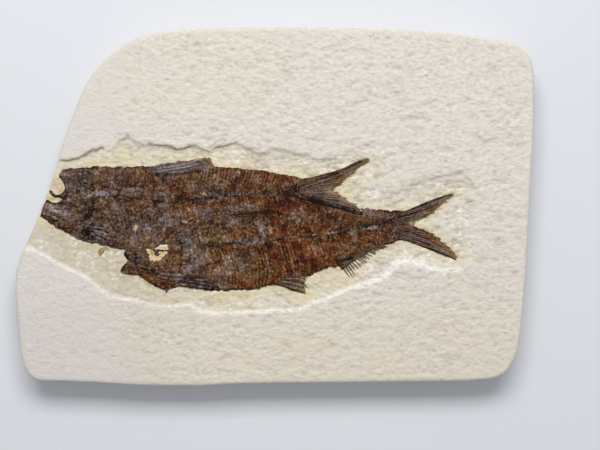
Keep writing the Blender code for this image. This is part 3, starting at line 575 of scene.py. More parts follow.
LOWER_MARKS = {
    "dark_bone": [
        (0.50, 0.75, [(-13.2, -2.5), (-10.5, -2.2), (-6.0, -1.9), (-2.0, -1.9)]),
        (0.36, 0.4, [(-13.1, -3.2), (-9.3, -3.0), (-6.5, -3.1)]),
        (0.60, 0.9, [(-20.7, -11.5), (-18.3, -12.2), (-15.9, -11.7)]),
        (0.42, 0.7, [(-15.9, -11.2), (-11.7, -10.8), (-7.5, -10.5)]),
        (0.90, 0.8, [(-2.7, -10.9), (-1.2, -12.2)]),
        (0.30, 0.7, [(-1.5, -10.5), (1.5, -9.9), (3.9, -9.8)]),
        (0.24, 0.4, [(3.9, -9.4), (7.5, -9.2), (11.1, -9.0)]),
        (0.30, 0.7, [(11.1, -9.0), (13.4, -8.9)]),
        (0.30, 0.8, [(15.6, -8.7), (17.4, -8.5)]),
        (0.42, 0.9, [(18.3, -8.2), (21.0, -7.6)]),
        (0.42, 0.9, [(21.0, -7.5), (23.4, -6.9)]),
        (0.34, 0.7, [(23.4, -6.9), (26.1, -6.2)]),
        (0.60, 1.0, [(26.1, -6.2), (27.2, -6.0)]),
        (0.34, 0.8, [(27.3, -5.9), (30.0, -5.4), (31.6, -5.2)]),
        (0.60, 1.0, [(31.5, -5.2), (32.7, -5.0)]),
        (0.40, 0.8, [(32.7, -4.9), (35.1, -3.9)]),
        (0.30, 0.6, [(35.1, -3.9), (37.5, -3.0), (41.1, -2.1), (45.3, -0.8), (48.9, 0.9)]),
        (0.30, 0.8, [(27.3, -7.3), (30.9, -7.2), (34.5, -7.9)]),
        (0.96, 1.0, [(-45.0, -13.3), (-45.0, -14.5), (-44.4, -15.4)]),
        (0.48, 0.9, [(-41.7, -14.2), (-41.7, -16.6), (-41.4, -18.8)]),
        (0.36, 0.7, [(-45.0, -20.1), (-42.3, -20.3), (-40.2, -20.6)]),
        (0.48, 0.7, [(-44.4, -16.6), (-45.3, -18.4), (-45.9, -19.3)]),
        (0.30, 0.6, [(-41.1, -18.4), (-37.5, -19.1), (-34.5, -18.4)]),
        (0.39, 0.8, [(-23.7, -6.8), (-22.8, -9.8), (-20.7, -11.8)]),
        (0.30, 0.7, [(-26.7, -8.8), (-25.5, -12.4), (-25.5, -16.6)]),
        (0.30, 0.7, [(-28.5, -10.0), (-27.6, -13.7), (-28.2, -17.8)]),
        (0.48, 0.8, [(-24.3, -6.8), (-24.9, -7.6)]),
        (1.30, 0.85, [(-26.0, -22.0), (-18.5, -24.6)]),
        (0.50, 0.6, [(-26.4, -21.8), (-23.7, -21.3), (-21.3, -21.8)]),
        (0.60, 0.9, [(-25.5, -22.9), (-22.5, -23.2), (-19.2, -24.1)]),
        (0.36, 0.9, [(-25.5, -24.1), (-22.5, -24.8), (-19.5, -25.0)]),
        (0.42, 0.8, [(-29.1, -22.9), (-27.3, -22.6)]),
        (0.36, 0.7, [(-36.9, -23.2), (-33.9, -24.6), (-30.3, -24.1)]),
        (0.36, 0.6, [(-18.3, -25.1), (-12.0, -24.8), (-6.9, -24.8)]),
        (0.36, 0.7, [(-3.9, -24.1), (0.3, -23.1)]),
        (0.28, 0.8, [(0.9, -23.6), (5.1, -24.9), (9.3, -25.9)]),
        (0.20, 0.5, [(1.8, -22.9), (5.7, -23.8), (9.0, -24.6)]),
        (0.20, 0.5, [(2.7, -22.1), (6.3, -22.5), (9.3, -23.1)]),
        (0.20, 0.4, [(3.6, -21.0), (6.9, -21.3), (9.3, -21.8)]),
        (0.36, 0.7, [(7.5, -20.7), (10.2, -20.5)]),
        (0.50, 0.8, [(18.9, -16.6), (20.7, -16.1), (23.4, -15.1)]),
        (0.28, 0.6, [(32.7, -1.5), (37.8, -1.6), (43.5, 0.2), (48.9, 2.3), (52.8, 3.6)]),
        (0.36, 0.8, [(36.9, -10.0), (41.1, -10.8), (46.5, -12.8), (51.3, -14.6), (54.0, -15.8)]),
        (0.26, 0.5, [(35.1, -6.8), (40.5, -7.6), (45.0, -9.4), (49.5, -11.8), (52.5, -13.9)]),
        (0.22, 0.5, [(36.3, -8.2), (41.1, -9.3), (46.5, -11.5)]),
        (0.22, 0.5, [(38.7, -5.2), (41.7, -6.3), (45.9, -7.9)]),
    ],
    "grey_bone": [
        (1.30, 0.7, [(-3.9, -6.1), (-3.3, -9.4)]),
        (1.30, 0.55, [(-8.1, -10.9), (-3.9, -10.3)]),
        (2.60, 0.3, [(4.5, -4.2), (12.0, -3.6), (20.0, -4.4)]),
        (1.02, 0.9, [(-25.2, -22.3), (-21.3, -22.8), (-18.3, -23.8)]),
        (0.90, 1.0, [(26.4, -6.6), (30.3, -6.3)]),
        (0.60, 0.8, [(16.5, -8.1), (19.5, -7.6)]),
        (2.70, 0.5, [(-27.3, -7.6), (-25.5, -11.8), (-24.9, -16.1)]),
        (2.40, 0.25, [(-35.1, -19.6), (-30.9, -21.1), (-26.7, -20.2)]),
        (1.50, 0.5, [(33.3, -2.2), (36.9, -3.4)]),
        (1.80, 0.55, [(38.7, -3.8), (43.5, -1.6), (47.7, 0.1)]),
        (2.10, 0.5, [(37.5, -7.6), (43.5, -9.8), (49.5, -13.0)]),
        (1.20, 0.65, [(5.1, -21.8), (6.3, -19.9)]),
        (1.05, 0.8, [(20.1, -15.1), (21.6, -16.1)]),
        (1.80, 0.5, [(-43.8, -14.8), (-42.6, -17.2)]),
        (1.50, 0.45, [(-11.1, -4.6), (-3.9, -4.0)]),
        (1.80, 0.4, [(-14.1, -16.6), (-11.7, -19.6)]),
    ],
    "rust": [
        (2.70, 0.9, [(2.1, -13.0), (9.0, -14.2), (16.5, -12.8)]),
        (2.10, 0.6, [(-0.9, -16.6), (4.5, -19.1)]),
        (2.10, 0.6, [(9.0, -16.6), (15.0, -15.4)]),
        (2.10, 0.4, [(9.3, -4.6), (16.5, -4.0), (23.1, -4.0)]),
        (1.50, 0.7, [(-14.1, -7.6), (-9.3, -8.2)]),
        (0.90, 0.9, [(9.9, -7.0), (11.7, -7.3)]),
        (1.50, 0.5, [(-1.5, -5.8), (4.5, -6.5)]),
        (2.10, 0.5, [(21.0, -10.0), (29.1, -8.2)]),
        (0.90, 0.8, [(-29.7, -15.4), (-27.9, -16.6), (-28.5, -18.4)]),
        (1.50, 0.5, [(-14.7, -22.6), (-7.5, -23.6)]),
        (0.80, 0.9, [(-36.0, -13.3), (-33.4, -13.4)]),
        (1.30, 0.5, [(-37.6, -17.6), (-33.4, -17.8)]),
    ],
    "olive": [
        (1.20, 0.6, [(-38.6, -12.4), (-35.0, -11.4), (-31.2, -11.6)]),
        (1.40, 0.7, [(-45.8, -19.0), (-43.6, -19.6)]),
        (0.90, 0.6, [(-29.4, -12.8), (-30.0, -15.4)]),
        (2.55, 0.95, [(-20.1, -5.8), (-18.3, -8.2), (-15.9, -7.6)]),
        (0.90, 0.9, [(-21.3, -9.9), (-16.5, -9.6)]),
        (2.10, 0.7, [(-10.5, -14.8), (-8.7, -20.8)]),
        (1.80, 0.7, [(-4.5, -13.7), (-2.7, -20.2)]),
        (1.20, 0.9, [(11.7, -9.2), (12.9, -10.9)]),
        (1.80, 0.6, [(17.7, -13.7), (21.3, -11.8)]),
        (1.05, 0.8, [(-30.9, -14.8), (-29.7, -17.8)]),
        (1.05, 0.6, [(37.5, -4.3), (41.1, -4.3), (44.7, -3.1)]),
        (1.20, 0.5, [(1.5, -2.9), (4.5, -4.6)]),
    ],
    "pale_fleck": [
        (0.78, 1.0, [(41.1, -5.1), (42.9, -4.8)]),
        (0.36, 0.6, [(-13.8, -15.4), (-13.2, -16.3)]),
        (0.30, 0.55, [(-14.7, -16.6), (-14.7, -17.8)]),
        (0.30, 0.6, [(-22.5, -9.4), (-21.6, -10.9)]),
        (0.36, 0.55, [(11.1, -6.8), (11.4, -7.6)]),
        (0.33, 0.5, [(-27.9, -9.8), (-27.3, -10.0)]),
        (0.30, 0.5, [(-10.5, -11.8), (-9.3, -12.0)]),
        (0.36, 0.5, [(2.4, -17.8), (3.0, -19.1)]),
        (0.33, 0.6, [(-16.8, -23.8), (-16.2, -24.0)]),
    ],
    "gold": [
        (0.50, 0.8, [(-29.5, -14.7), (-29.0, -17.0), (-29.3, -18.2)]),
        (0.40, 0.5, [(-31.2, -14.0), (-31.0, -16.6)]),
        (2.00, 0.5, [(-11.0, -21.4), (-5.5, -23.0)]),
        (3.20, 0.5, [(-5.5, -15.0), (-3.4, -22.0)]),
        (3.00, 0.35, [(-14.5, -15.0), (-11.0, -20.0)]),
        (1.00, 0.45, [(-39.6, -21.0), (-37.4, -22.8)]),
        (0.80, 0.5, [(11.4, -7.0), (12.4, -7.4)]),
        (0.90, 0.35, [(3.4, -14.4), (4.6, -16.2)]),
        (0.90, 0.35, [(10.4, -12.2), (12.8, -12.8)]),
        (0.50, 0.6, [(43.8, -3.6), (48.6, -0.4), (51.6, 2.0)]),
        (0.60, 0.7, [(46.0, -9.4), (50.0, -12.0), (53.6, -15.4)]),
        (0.60, 0.6, [(40.9, -5.1), (43.4, -4.5)]),
    ],
    # Pale bluish strokes on the bone, mostly painted highlights
    "pale_bone_and_highlight": [
        (0.20, 0.9, [(-25.8, -22.4), (-22.4, -22.9), (-19.3, -23.5)]),
        (0.20, 0.8, [(-25.2, -23.3), (-22.0, -24.1), (-19.0, -24.4)]),
        (0.18, 0.7, [(-24.6, -21.9), (-21.0, -22.0)]),
        (0.22, 0.6, [(-35.5, -19.6), (-32.0, -20.4), (-27.5, -20.6)]),
        (0.22, 0.6, [(-35.2, -20.8), (-31.5, -21.8), (-27.6, -21.8)]),
        (0.22, 0.5, [(-34.0, -22.2), (-31.0, -23.0), (-28.0, -22.9)]),
        (0.22, 0.5, [(-41.0, -17.6), (-37.0, -18.6), (-33.5, -18.2)]),
        (1.10, 0.45, [(-4.8, -5.2), (-3.6, -8.6)]),
        (0.50, 0.6, [(-2.0, -5.2), (-1.4, -7.8)]),
        (1.30, 0.35, [(-26.8, -8.4), (-25.0, -12.6)]),
        (0.50, 0.55, [(-15.6, -15.6), (-13.4, -14.8)]),
        (0.50, 0.45, [(-14.6, -17.4), (-14.2, -18.6)]),
        (0.50, 0.25, [(27.2, -6.6), (30.3, -6.2)]),
        (0.26, 0.8, [(11.4, -8.5), (12.4, -8.3)]),
        (0.26, 0.8, [(16.2, -8.0), (17.6, -7.9)]),
        (0.26, 0.6, [(19.0, -7.6), (20.0, -7.2)]),
        (1.20, 0.3, [(-8.0, -10.9), (-4.0, -10.4)]),
        (0.22, 0.3, [(40.6, -8.4), (46.5, -10.6), (51.0, -13.2)]),
        (0.22, 0.3, [(39.5, -3.2), (44.0, -1.6), (48.6, 0.9)]),
        (0.22, 0.6, [(2.6, -22.5), (6.0, -23.1), (8.8, -23.9)]),
        (0.20, 0.5, [(3.4, -21.6), (6.6, -21.8), (9.0, -22.3)]),
    ],
    "spine": [
        (0.6, 0.5, [(-21.6, -10.9), (-15.0, -10.9), (-3.0, -10.0), (7.5, -9.2), (14.0, -8.6)]),
        (0.6, 0.7, [(14.0, -8.6), (18.0, -8.2), (24.0, -6.9), (30.0, -5.8), (34.5, -4.2), (38.1, -2.5)]),
    ],
    "ribs": [
        (3.4, 1.0, [(-4.4, -15.0), (-3.6, -21.5)]),
        (3.8, 0.9, [(4.0, -13.0), (5.0, -19.0)]),
        (3.6, 0.65, [(-15.0, -15.0), (-12.5, -21.5)]),
        (2.8, 0.6, [(12.0, -13.0), (17.0, -13.0)]),
        (1.6, 0.35, [(-12.0, -5.0), (14.0, -4.0)]),
    ],
}


def spline(points, step, closed=False):
    """Points every step along a smooth curve through the given points."""
    count = len(points)
    spans = count if closed else count - 1
    curve = []
    for i in range(spans):
        if closed:
            before, start, end, after = (points[(i + k) % count] for k in (-1, 0, 1, 2))
        else:
            before, start, end, after = (points[min(max(i + k, 0), count - 1)] for k in (-1, 0, 1, 2))
        pieces = max(1, round(math.dist(start, end) / step))
        for j in range(pieces):
            t = j / pieces
            point = []
            for a, b, c, d in zip(before, start, end, after):
                doubled = 2 * b + (c - a) * t + (2 * a - 5 * b + 4 * c - d) * t ** 2
                doubled += (3 * b - a - 3 * c + d) * t ** 3
                point.append(0.5 * doubled)
            curve.append(tuple(point))
    if not closed:
        curve.append(tuple(points[-1]))
    return curve


def straight(points, step, closed=False):
    """Points every step along straight spans between the given points."""
    ends = points[1:] + points[:1] if closed else points[1:]
    line = []
    for start, end in zip(points, ends):
        pieces = max(1, round(math.dist(start, end) / step))
        for j in range(pieces):
            share = j / pieces
            line.append((start[0] + (end[0] - start[0]) * share, start[1] + (end[1] - start[1]) * share))
    if not closed:
        line.append(tuple(points[-1]))
    return line


def shifted(line, offset, closed=False):
    """A copy of a line moved sideways to its left by an offset."""
    line = np.array(line)
    if closed:
        along = np.roll(line, -1, axis=0) - np.roll(line, 1, axis=0)
    else:
        along = np.gradient(line, axis=0)
    along /= np.linalg.norm(along, axis=1)[:, None]
    offset = np.asarray(offset) * np.ones(len(line))
    return [tuple(p) for p in line + offset[:, None] * np.column_stack((-along[:, 1], along[:, 0]))]


def distance(points, line, closed=False):
    """Distance from each point to a line of straight spans."""
    points = np.asarray(points, dtype=float)
    starts = np.asarray(line, dtype=float)
    ends = np.roll(starts, -1, axis=0) if closed else starts[1:]
    starts = starts if closed else starts[:-1]
    nearest = np.full(len(points), np.inf)
    for (x, y), (dx, dy) in zip(starts, ends - starts):
        across, up = points[:, 0] - x, points[:, 1] - y
        t = np.clip((across * dx + up * dy) / max(dx * dx + dy * dy, 1e-12), 0, 1)
        nearest = np.minimum(nearest, (across - t * dx) ** 2 + (up - t * dy) ** 2)
    return np.sqrt(nearest)


def inside(points, loop):
    """Whether each point lies inside a closed loop."""
    x, y = np.asarray(points, dtype=float).T
    found = np.zeros(len(x), dtype=bool)
    for (x0, y0), (x1, y1) in zip(loop, loop[1:] + loop[:1]):
        if y0 != y1:
            found ^= ((y0 > y) != (y1 > y)) & (x < (x1 - x0) * (y - y0) / (y1 - y0) + x0)
    return found


def smooth(t):
    """Eases from 0 to 1."""
    t = np.clip(t, 0, 1)
    return t * t * (3 - 2 * t)


def scatter(column, row, channel):
    """A value from 0 to 1 that changes from cell to cell and is the same each time."""
    mixed = np.sin(column * 127.1 + row * 311.7 + channel * 74.7) * 43758.5453
    return mixed - np.floor(mixed)


def cloud(points, size, channel):
    """Soft patches of value 0 to 1, about size across."""
    turn = channel * 0.7
    rotation = np.array(((math.cos(turn), -math.sin(turn)), (math.sin(turn), math.cos(turn))))
    spot = points / np.asarray(size) @ rotation
    cell = np.floor(spot)
    part = smooth(spot - cell)
    column, row = cell.T
    across, up = part[:, 0], part[:, 1]
    low, high = (
        scatter(column, row + k, channel) * (1 - across) + scatter(column + 1, row + k, channel) * across
        for k in (0, 1))
    return low * (1 - up) + high * up


def clouds(points, size, channel, layers=3):
    """Patches with finer patches in them, 0 to 1 with 0.5 in the middle."""
    size = np.asarray(size, dtype=float)
    shares = [0.5 ** i for i in range(layers)]
    total = sum(share * cloud(points, size * share, channel + 10 * i) for i, share in enumerate(shares))
    return total / sum(shares)


def covered(points, share, size, channel):
    """Soft-edged patches that cover about a share of the points."""
    return smooth((clouds(points, size, channel) - 0.5 + 0.4 * (share - 0.5)) / 0.17 + 0.5)


def plates(points, size, channel):
    """Uneven plates about size across: the distance from each plate's rim, and a value for each plate."""
    spot = points / np.asarray(size)
    home = np.floor(spot)
    nearest = np.full(len(points), 9.0)
    second = nearest.copy()
    shade = np.zeros(len(points))
    for i in (-1, 0, 1):
        for j in (-1, 0, 1):
            column, row = (home + (i, j)).T
            gap = np.hypot(
                spot[:, 0] - column - scatter(column, row, channel),
                spot[:, 1] - row - scatter(column, row, channel + 1))
            closer = gap < nearest
            second = np.where(closer, nearest, np.minimum(second, gap))
            shade = np.where(closer, scatter(column, row, channel + 2), shade)
            nearest = np.minimum(nearest, gap)
    return second - nearest, shade


def pecks(points, length, width, channel, share=1.0):
    """Depth from 0 to 1 of small strokes that run mostly along X, one to a cell."""
    size = np.array((length, width)) * 0.9
    home = np.floor(points / size)
    deepest = np.zeros(len(points))
    for i in (-1, 0, 1):
        for j in (-1, 0, 1):
            cell = home + (i, j)
            column, row = cell.T
            chance = [scatter(column, row, channel + k) for k in range(6)]
            centre = (cell + np.column_stack((chance[0], chance[1]))) * size
            turn = (chance[2] - 0.5) * 1.1
            away = points - centre
            along = away[:, 0] * np.cos(turn) + away[:, 1] * np.sin(turn)
            across = away[:, 1] * np.cos(turn) - away[:, 0] * np.sin(turn)
            grow = 0.55 + 0.6 * chance[3]
            reach = np.hypot(along / (0.5 * length * grow), across / (0.5 * width * grow))
            depth = (0.4 + 0.6 * chance[4]) * smooth(1.15 - reach) * (chance[5] < share)
            deepest = np.maximum(deepest, depth)
    return deepest


SLAB_LOOP = spline(SLAB_OUTLINE, RIM_STEP, closed=True)
BASIN_LOOP = UPPER_LEDGE + LOWER_LEDGE
LOWER_LEDGE_CURVE = spline(LOWER_LEDGE, LEDGE_STEP)


def frayed(line, fray=EDGE_FRAY, closed=False):
    """A smooth line made a little uneven, like the broken edge of bone."""
    line = np.array(line)
    wander = 2 * clouds(line, 0.8, 15, 2) - 1
    return shifted([tuple(p) for p in line], fray * 2 * wander, closed)


def fringe(line, hub):
    """The edge of a fin where fine ray tips stick out past a line, pointing away from a hub."""
    edge = []
    for i, base in enumerate(spline(line, RAY_PITCH)):
        away = np.array(base) - hub
        length = RAY_REACH * (0.15 + 1.1 * float(scatter(i, base[0], 17)) ** 1.5)
        edge += [base, tuple(base + away / np.linalg.norm(away) * length)]
    return straight(edge, FISH_RIM_STEP)


def comb_rays(rays, pitch):
    """The root and tip of each ray of a fin of separate rays, with more set in between the ones given."""
    comb = []
    for (root, tip), (next_root, next_tip) in zip(rays, rays[1:]):
        between = max(1, round(math.dist(root, next_root) / pitch))
        for i in range(between):
            share = i / between
            start = np.array(root) * (1 - share) + np.array(next_root) * share
            end = np.array(tip) * (1 - share) + np.array(next_tip) * share
            reach = 0.66 + 0.44 * float(scatter(i, start[0], 19))
            comb.append((start, start + (end - start) * reach))
    return comb


def fin_comb(comb):
    """The edge of a fin of separate rays, each a slim tooth."""
    edge = []
    for start, end in comb:
        along = end - start
        side = np.array((-along[1], along[0])) / np.linalg.norm(along) * ANAL_RAY_HALF_WIDTH
        edge += [
            tuple(start - side), tuple(start + 0.8 * (along - 0.8 * side)), tuple(end),
            tuple(start + 0.8 * (along + 0.8 * side)), tuple(start + side)]
    return straight(edge, FISH_RIM_STEP)


def upper_fish_loop():
    """The upper fish's outline."""
    back = frayed(spline(UPPER_BACK, FISH_RIM_STEP)) + frayed(straight(UPPER_DORSAL_FIN, FISH_RIM_STEP))
    rear = frayed(spline(UPPER_BACK_REAR, FISH_RIM_STEP))
    tail = spline(UPPER_TAIL_TOP, FISH_RIM_STEP) + fringe(UPPER_FORK_HIGH, UPPER_TAIL_HUB)
    tail += fringe(UPPER_FORK_LOW, UPPER_TAIL_HUB)
    belly = spline(OVERLAP_LINE, FISH_RIM_STEP) + frayed(spline(UPPER_BELLY, FISH_RIM_STEP))
    head = straight(UPPER_JAW, FISH_RIM_STEP) + straight(UPPER_EYE_RIM, FISH_RIM_STEP)
    return back + rear + tail + belly + head


def lower_fish_loop():
    """The lower fish's outline, which reaches a little way under the upper fish."""
    belly = frayed(spline(LOWER_BELLY, FISH_RIM_STEP))
    pelvic = spline(LOWER_PELVIC_EDGE, FISH_RIM_STEP) + fringe(LOWER_PELVIC_TIPS, LOWER_PELVIC_HUB)
    rear = frayed(spline(LOWER_BELLY_REAR, FISH_RIM_STEP)) + fin_comb(comb_rays(ANAL_FIN_RAYS, ANAL_PITCH))
    tail = spline(LOWER_TAIL_BOTTOM, FISH_RIM_STEP) + fringe(LOWER_FORK_LOW, LOWER_TAIL_HUB)
    tail += fringe(LOWER_FORK_HIGH, LOWER_TAIL_HUB) + spline(LOWER_TAIL_TOP, FISH_RIM_STEP)
    back = frayed(straight(LOWER_BACK_REAR[:-1], FISH_RIM_STEP))
    tuck = shifted(spline(OVERLAP_LINE, FISH_RIM_STEP), -OVERLAP_TUCK)
    return straight(LOWER_FACE, FISH_RIM_STEP) + belly + pelvic + rear + tail + back + tuck


def orbit_loops():
    """The two windows of the lower fish's orbit."""
    windows = [straight(window, FISH_RIM_STEP, closed=True) for window in LOWER_ORBIT]
    return [frayed(window, ORBIT_FRAY, closed=True) for window in windows]


def ledge_gap(points):
    """Distance inside the basin's edge, negative outside it."""
    return distance(points, BASIN_LOOP, closed=True) * np.where(inside(points, BASIN_LOOP), 1, -1)


def basin_share(points):
    """1 inside the basin and 0 outside it, eased along its edge."""
    return smooth(ledge_gap(points) / 3 + 0.3)


def stone_level(points):
    """Height of the worked stone before its small marks: level, down in the basin, rounded at the rim."""
    rim = distance(points, SLAB_LOOP, closed=True)
    round_size = EDGE_ROUND * (0.62 + 0.38 * cloud(points, 17, 3))
    rim = np.minimum(rim, round_size)
    round_drop = round_size - np.sqrt(np.maximum(round_size ** 2 - (round_size - rim) ** 2, 0))
    round_drop *= RIM_FLATTEN
    x, y = points.T
    right = smooth((x + 22) / 16)
    upper = smooth((y + 6) / 5)
    wide_bank = smooth((x - 30) / 8) * (1 - upper)
    crisp_width = 0.5 + (0.45 + 1.9 * upper) * right + 2.2 * wide_bank + 0.8 * cloud(points, 5, 7)
    gap = ledge_gap(points) + 1.2 * (clouds(points, 2.2, 9) - 0.5)
    crisp_share = 0.54 - 0.24 * right * upper + 0.1 * wide_bank
    soft_bank = smooth(gap / SOFT_BANK_WIDTH)
    drop = crisp_share * smooth(gap / crisp_width + 0.25) + (1 - crisp_share) * soft_bank
    swell = BROAD_SWELL * (clouds(points, (11, 8), 5) - 0.5)
    return SLAB_THICKNESS - round_drop - BASIN_DEPTH * drop + swell * smooth(rim / round_size)


def orbit_reach(points):
    """1 in the lower fish's orbit, falling to 0 a little way outside it."""
    reach = np.zeros(len(points))
    for window in LOWER_ORBIT:
        off = np.where(inside(points, window), 0, distance(points, window, closed=True))
        reach = np.maximum(reach, smooth(1 - off))
    return reach


def roughness_of_stone(points):
    """How strongly the stone is pecked: most in the basin and at the right, least at the far left."""
    x, y = wandering(points)
    right = smooth((x + 56) / 30)
    low = smooth((-16 - y) / 14)
    return (0.55 + 0.5 * right) * (1 - 0.05 * low) * (1 + 0.5 * basin_share(points))


def wandering(points):
    """The plan coordinates moved about, so that what changes along them has no straight edge."""
    shifts = [SHADE_WANDER * (clouds(points, (15, 12), channel, 2) - 0.5) for channel in (12, 13)]
    return points.T + np.array(shifts)


def crack_depth(points):
    """Depth of the cracks and furrows at each point, and how strongly their dark colour and painted shade
    cover it.
    """
    depth = np.zeros(len(points))
    share = np.zeros(len(points))
    sideways = np.column_stack([cloud(points, 0.9, channel) - 0.5 for channel in (14, 16)])
    moved = points + CRACK_WANDER * sideways
    for half_width, deepest, line in CRACKS:
        width = half_width * (0.45 + 0.75 * cloud(points, 2.1, 11))
        off = distance(moved, spline(line, CRACK_STEP)) / width
        core = smooth(1.3 - off)
        fringe_shade = 0.3 * smooth(1.3 - off / 2.6)
        depth = np.maximum(depth, deepest * core)
        share = np.maximum(share, (0.7 * core + fringe_shade) * min(1, deepest / 0.3))
    return depth, share


def stone_marks(points):
    """The stone's small relief of lumps, scraper strokes and pits, and how much shade is painted into its
    recesses.
    """
    rough = roughness_of_stone(points)
    lumps = clouds(points, (2.3, 1.15), 21, 3) - 0.5
    flakes = smooth((clouds(points, (3.0, 1.5), 23, 2) - 0.4) / 0.16) - 0.6
    grain = cloud(points, (1.0, 0.62), 31) - 0.5
    strokes = pecks(points, 2.0, 0.85, 41, 0.75)
    long_strokes = pecks(points, 4.4, 0.95, 51, 0.2)
    pits = pecks(points, 0.9, 0.8, 61, 0.05)
    relief = rough * (
        LUMP_HEIGHT * lumps + FLAKE_HEIGHT * flakes + GRAIN_HEIGHT * grain
        - STROKE_DEPTH * strokes - STROKE_DEPTH * long_strokes)
    # How much shade to paint: most in the strokes and pits, least on the lumps
    hollow = rough * (0.5 * strokes + 0.45 * long_strokes - 1.3 * lumps - 0.3 * flakes - 0.2 * grain) + pits
    return relief - PIT_DEPTH * pits, hollow


def lattice(loop, step, margin):
    """Points of a staggered lattice inside a loop, at least a margin from it."""
    low, high = np.min(loop, axis=0), np.max(loop, axis=0)
    rows = np.arange(low[1], high[1], step[1])
    columns = np.arange(low[0], high[0], step[0])
    x, y = np.meshgrid(columns, rows)
    x = x + (np.arange(len(rows)) % 2)[:, None] * step[0] / 2
    spots = np.column_stack((x.ravel(), y.ravel()))
    spots = spots[inside(spots, loop)]
    return spots[distance(spots, loop, closed=True) > margin]


def plan_triangles(loops, lines, spots):
    """Triangles inside the first loop and outside the others, facing up, with edges along each line."""
    points, edges = [], []
    for chain, closed in [(loop, True) for loop in loops] + [(line, False) for line in lines]:
        first = len(points)
        points.extend(chain)
        edges.extend((first + i, first + i + 1) for i in range(len(chain) - 1))
        if closed:
            edges.append((first + len(chain) - 1, first))
    points.extend(spots)
    places = [Vector((float(x), float(y))) for x, y in points]
    outline = list(range(len(loops[0])))
    fill_inside = 1
    found, _, faces, *_ = delaunay_2d_cdt(places, edges, [outline], fill_inside, MERGE_DISTANCE)
    plan = np.array([(v.x, v.y) for v in found])
    faces = np.array(faces)
    centres = plan[faces].mean(1)
    kept = inside(centres, loops[0])
    for hole in loops[1:]:
        kept &= ~inside(centres, hole)
    faces = faces[kept]
    a, b, c = plan[faces[:, 0]], plan[faces[:, 1]], plan[faces[:, 2]]
    upward = (b[:, 0] - a[:, 0]) * (c[:, 1] - a[:, 1]) > (c[:, 0] - a[:, 0]) * (b[:, 1] - a[:, 1])
    faces[~upward] = faces[~upward][:, ::-1]
    used = np.unique(faces)
    place = np.zeros(len(plan), dtype=int)
    place[used] = np.arange(len(used))
    return plan[used], place[faces]


def border_loops(faces):
    """The closed chains of directed edges that only one triangle has."""
    sides = np.concatenate((faces[:, (0, 1)], faces[:, (1, 2)], faces[:, (2, 0)]))
    count = faces.max() + 1
    single = ~np.isin(sides[:, 0] * count + sides[:, 1], sides[:, 1] * count + sides[:, 0])
    onward = {int(a): int(b) for a, b in sides[single]}
    loops = []
    while onward:
        start = next(iter(onward))
        loop = [start]
        while onward[loop[-1]] != start:
            loop.append(onward.pop(loop[-1]))
        onward.pop(loop[-1])
        loops.append(loop)
    return loops


def closed_relief(top, faces, lower_rings):
    """A closed solid from a top relief: its rim is carried down through each ring and floored flat.

    Each ring is a function of the rim's points that gives the points below them.
    """
    vertices = [tuple(p) for p in top]
    solid = [tuple(int(i) for i in face) for face in faces]
    floor_loops = []
    for loop in border_loops(faces):
        above = loop
        for ring in lower_rings:
            first = len(vertices)
            vertices.extend(tuple(p) for p in ring(np.array([top[i] for i in loop])))
            below = list(range(first, len(vertices)))
            for i in range(len(loop)):
                k = (i + 1) % len(loop)
                solid.append((below[i], below[k], above[k], above[i]))
            above = below
        floor_loops.append(above)
    flat = [[Vector((vertices[i][0], vertices[i][1], 0)) for i in loop] for loop in floor_loops]
    index = [i for loop in floor_loops for i in loop]
    for a, b, c in tessellate_polygon(flat):
        a, b, c = (index[i] for i in (a, b, c))
        (ax, ay, _), (bx, by, _), (cx, cy, _) = vertices[a], vertices[b], vertices[c]
        upward = (bx - ax) * (cy - ay) > (cx - ax) * (by - ay)
        solid.append((c, b, a) if upward else (a, b, c))
    return vertices, solid


def add_piece(name, vertices, faces, fields, material):
    """Makes one mesh object from points in millimetres, with a named value at each point for its colours."""
    mesh = bpy.data.meshes.new(name)
    mesh.from_pydata([tuple(float(v) * MM for v in p) for p in vertices], [], faces)
    for field, values in fields.items():
        layer = mesh.attributes.new(field, "FLOAT", "POINT")
        full = np.zeros(len(vertices), dtype=np.float32)
        full[:len(values)] = values
        layer.data.foreach_set("value", full)
    mesh.shade_smooth()
    mesh.set_sharp_from_angle(angle=SHARP_ANGLE)
    mesh.materials.append(material)
    piece = bpy.data.objects.new(name, mesh)
    bpy.context.collection.objects.link(piece)
    return piece


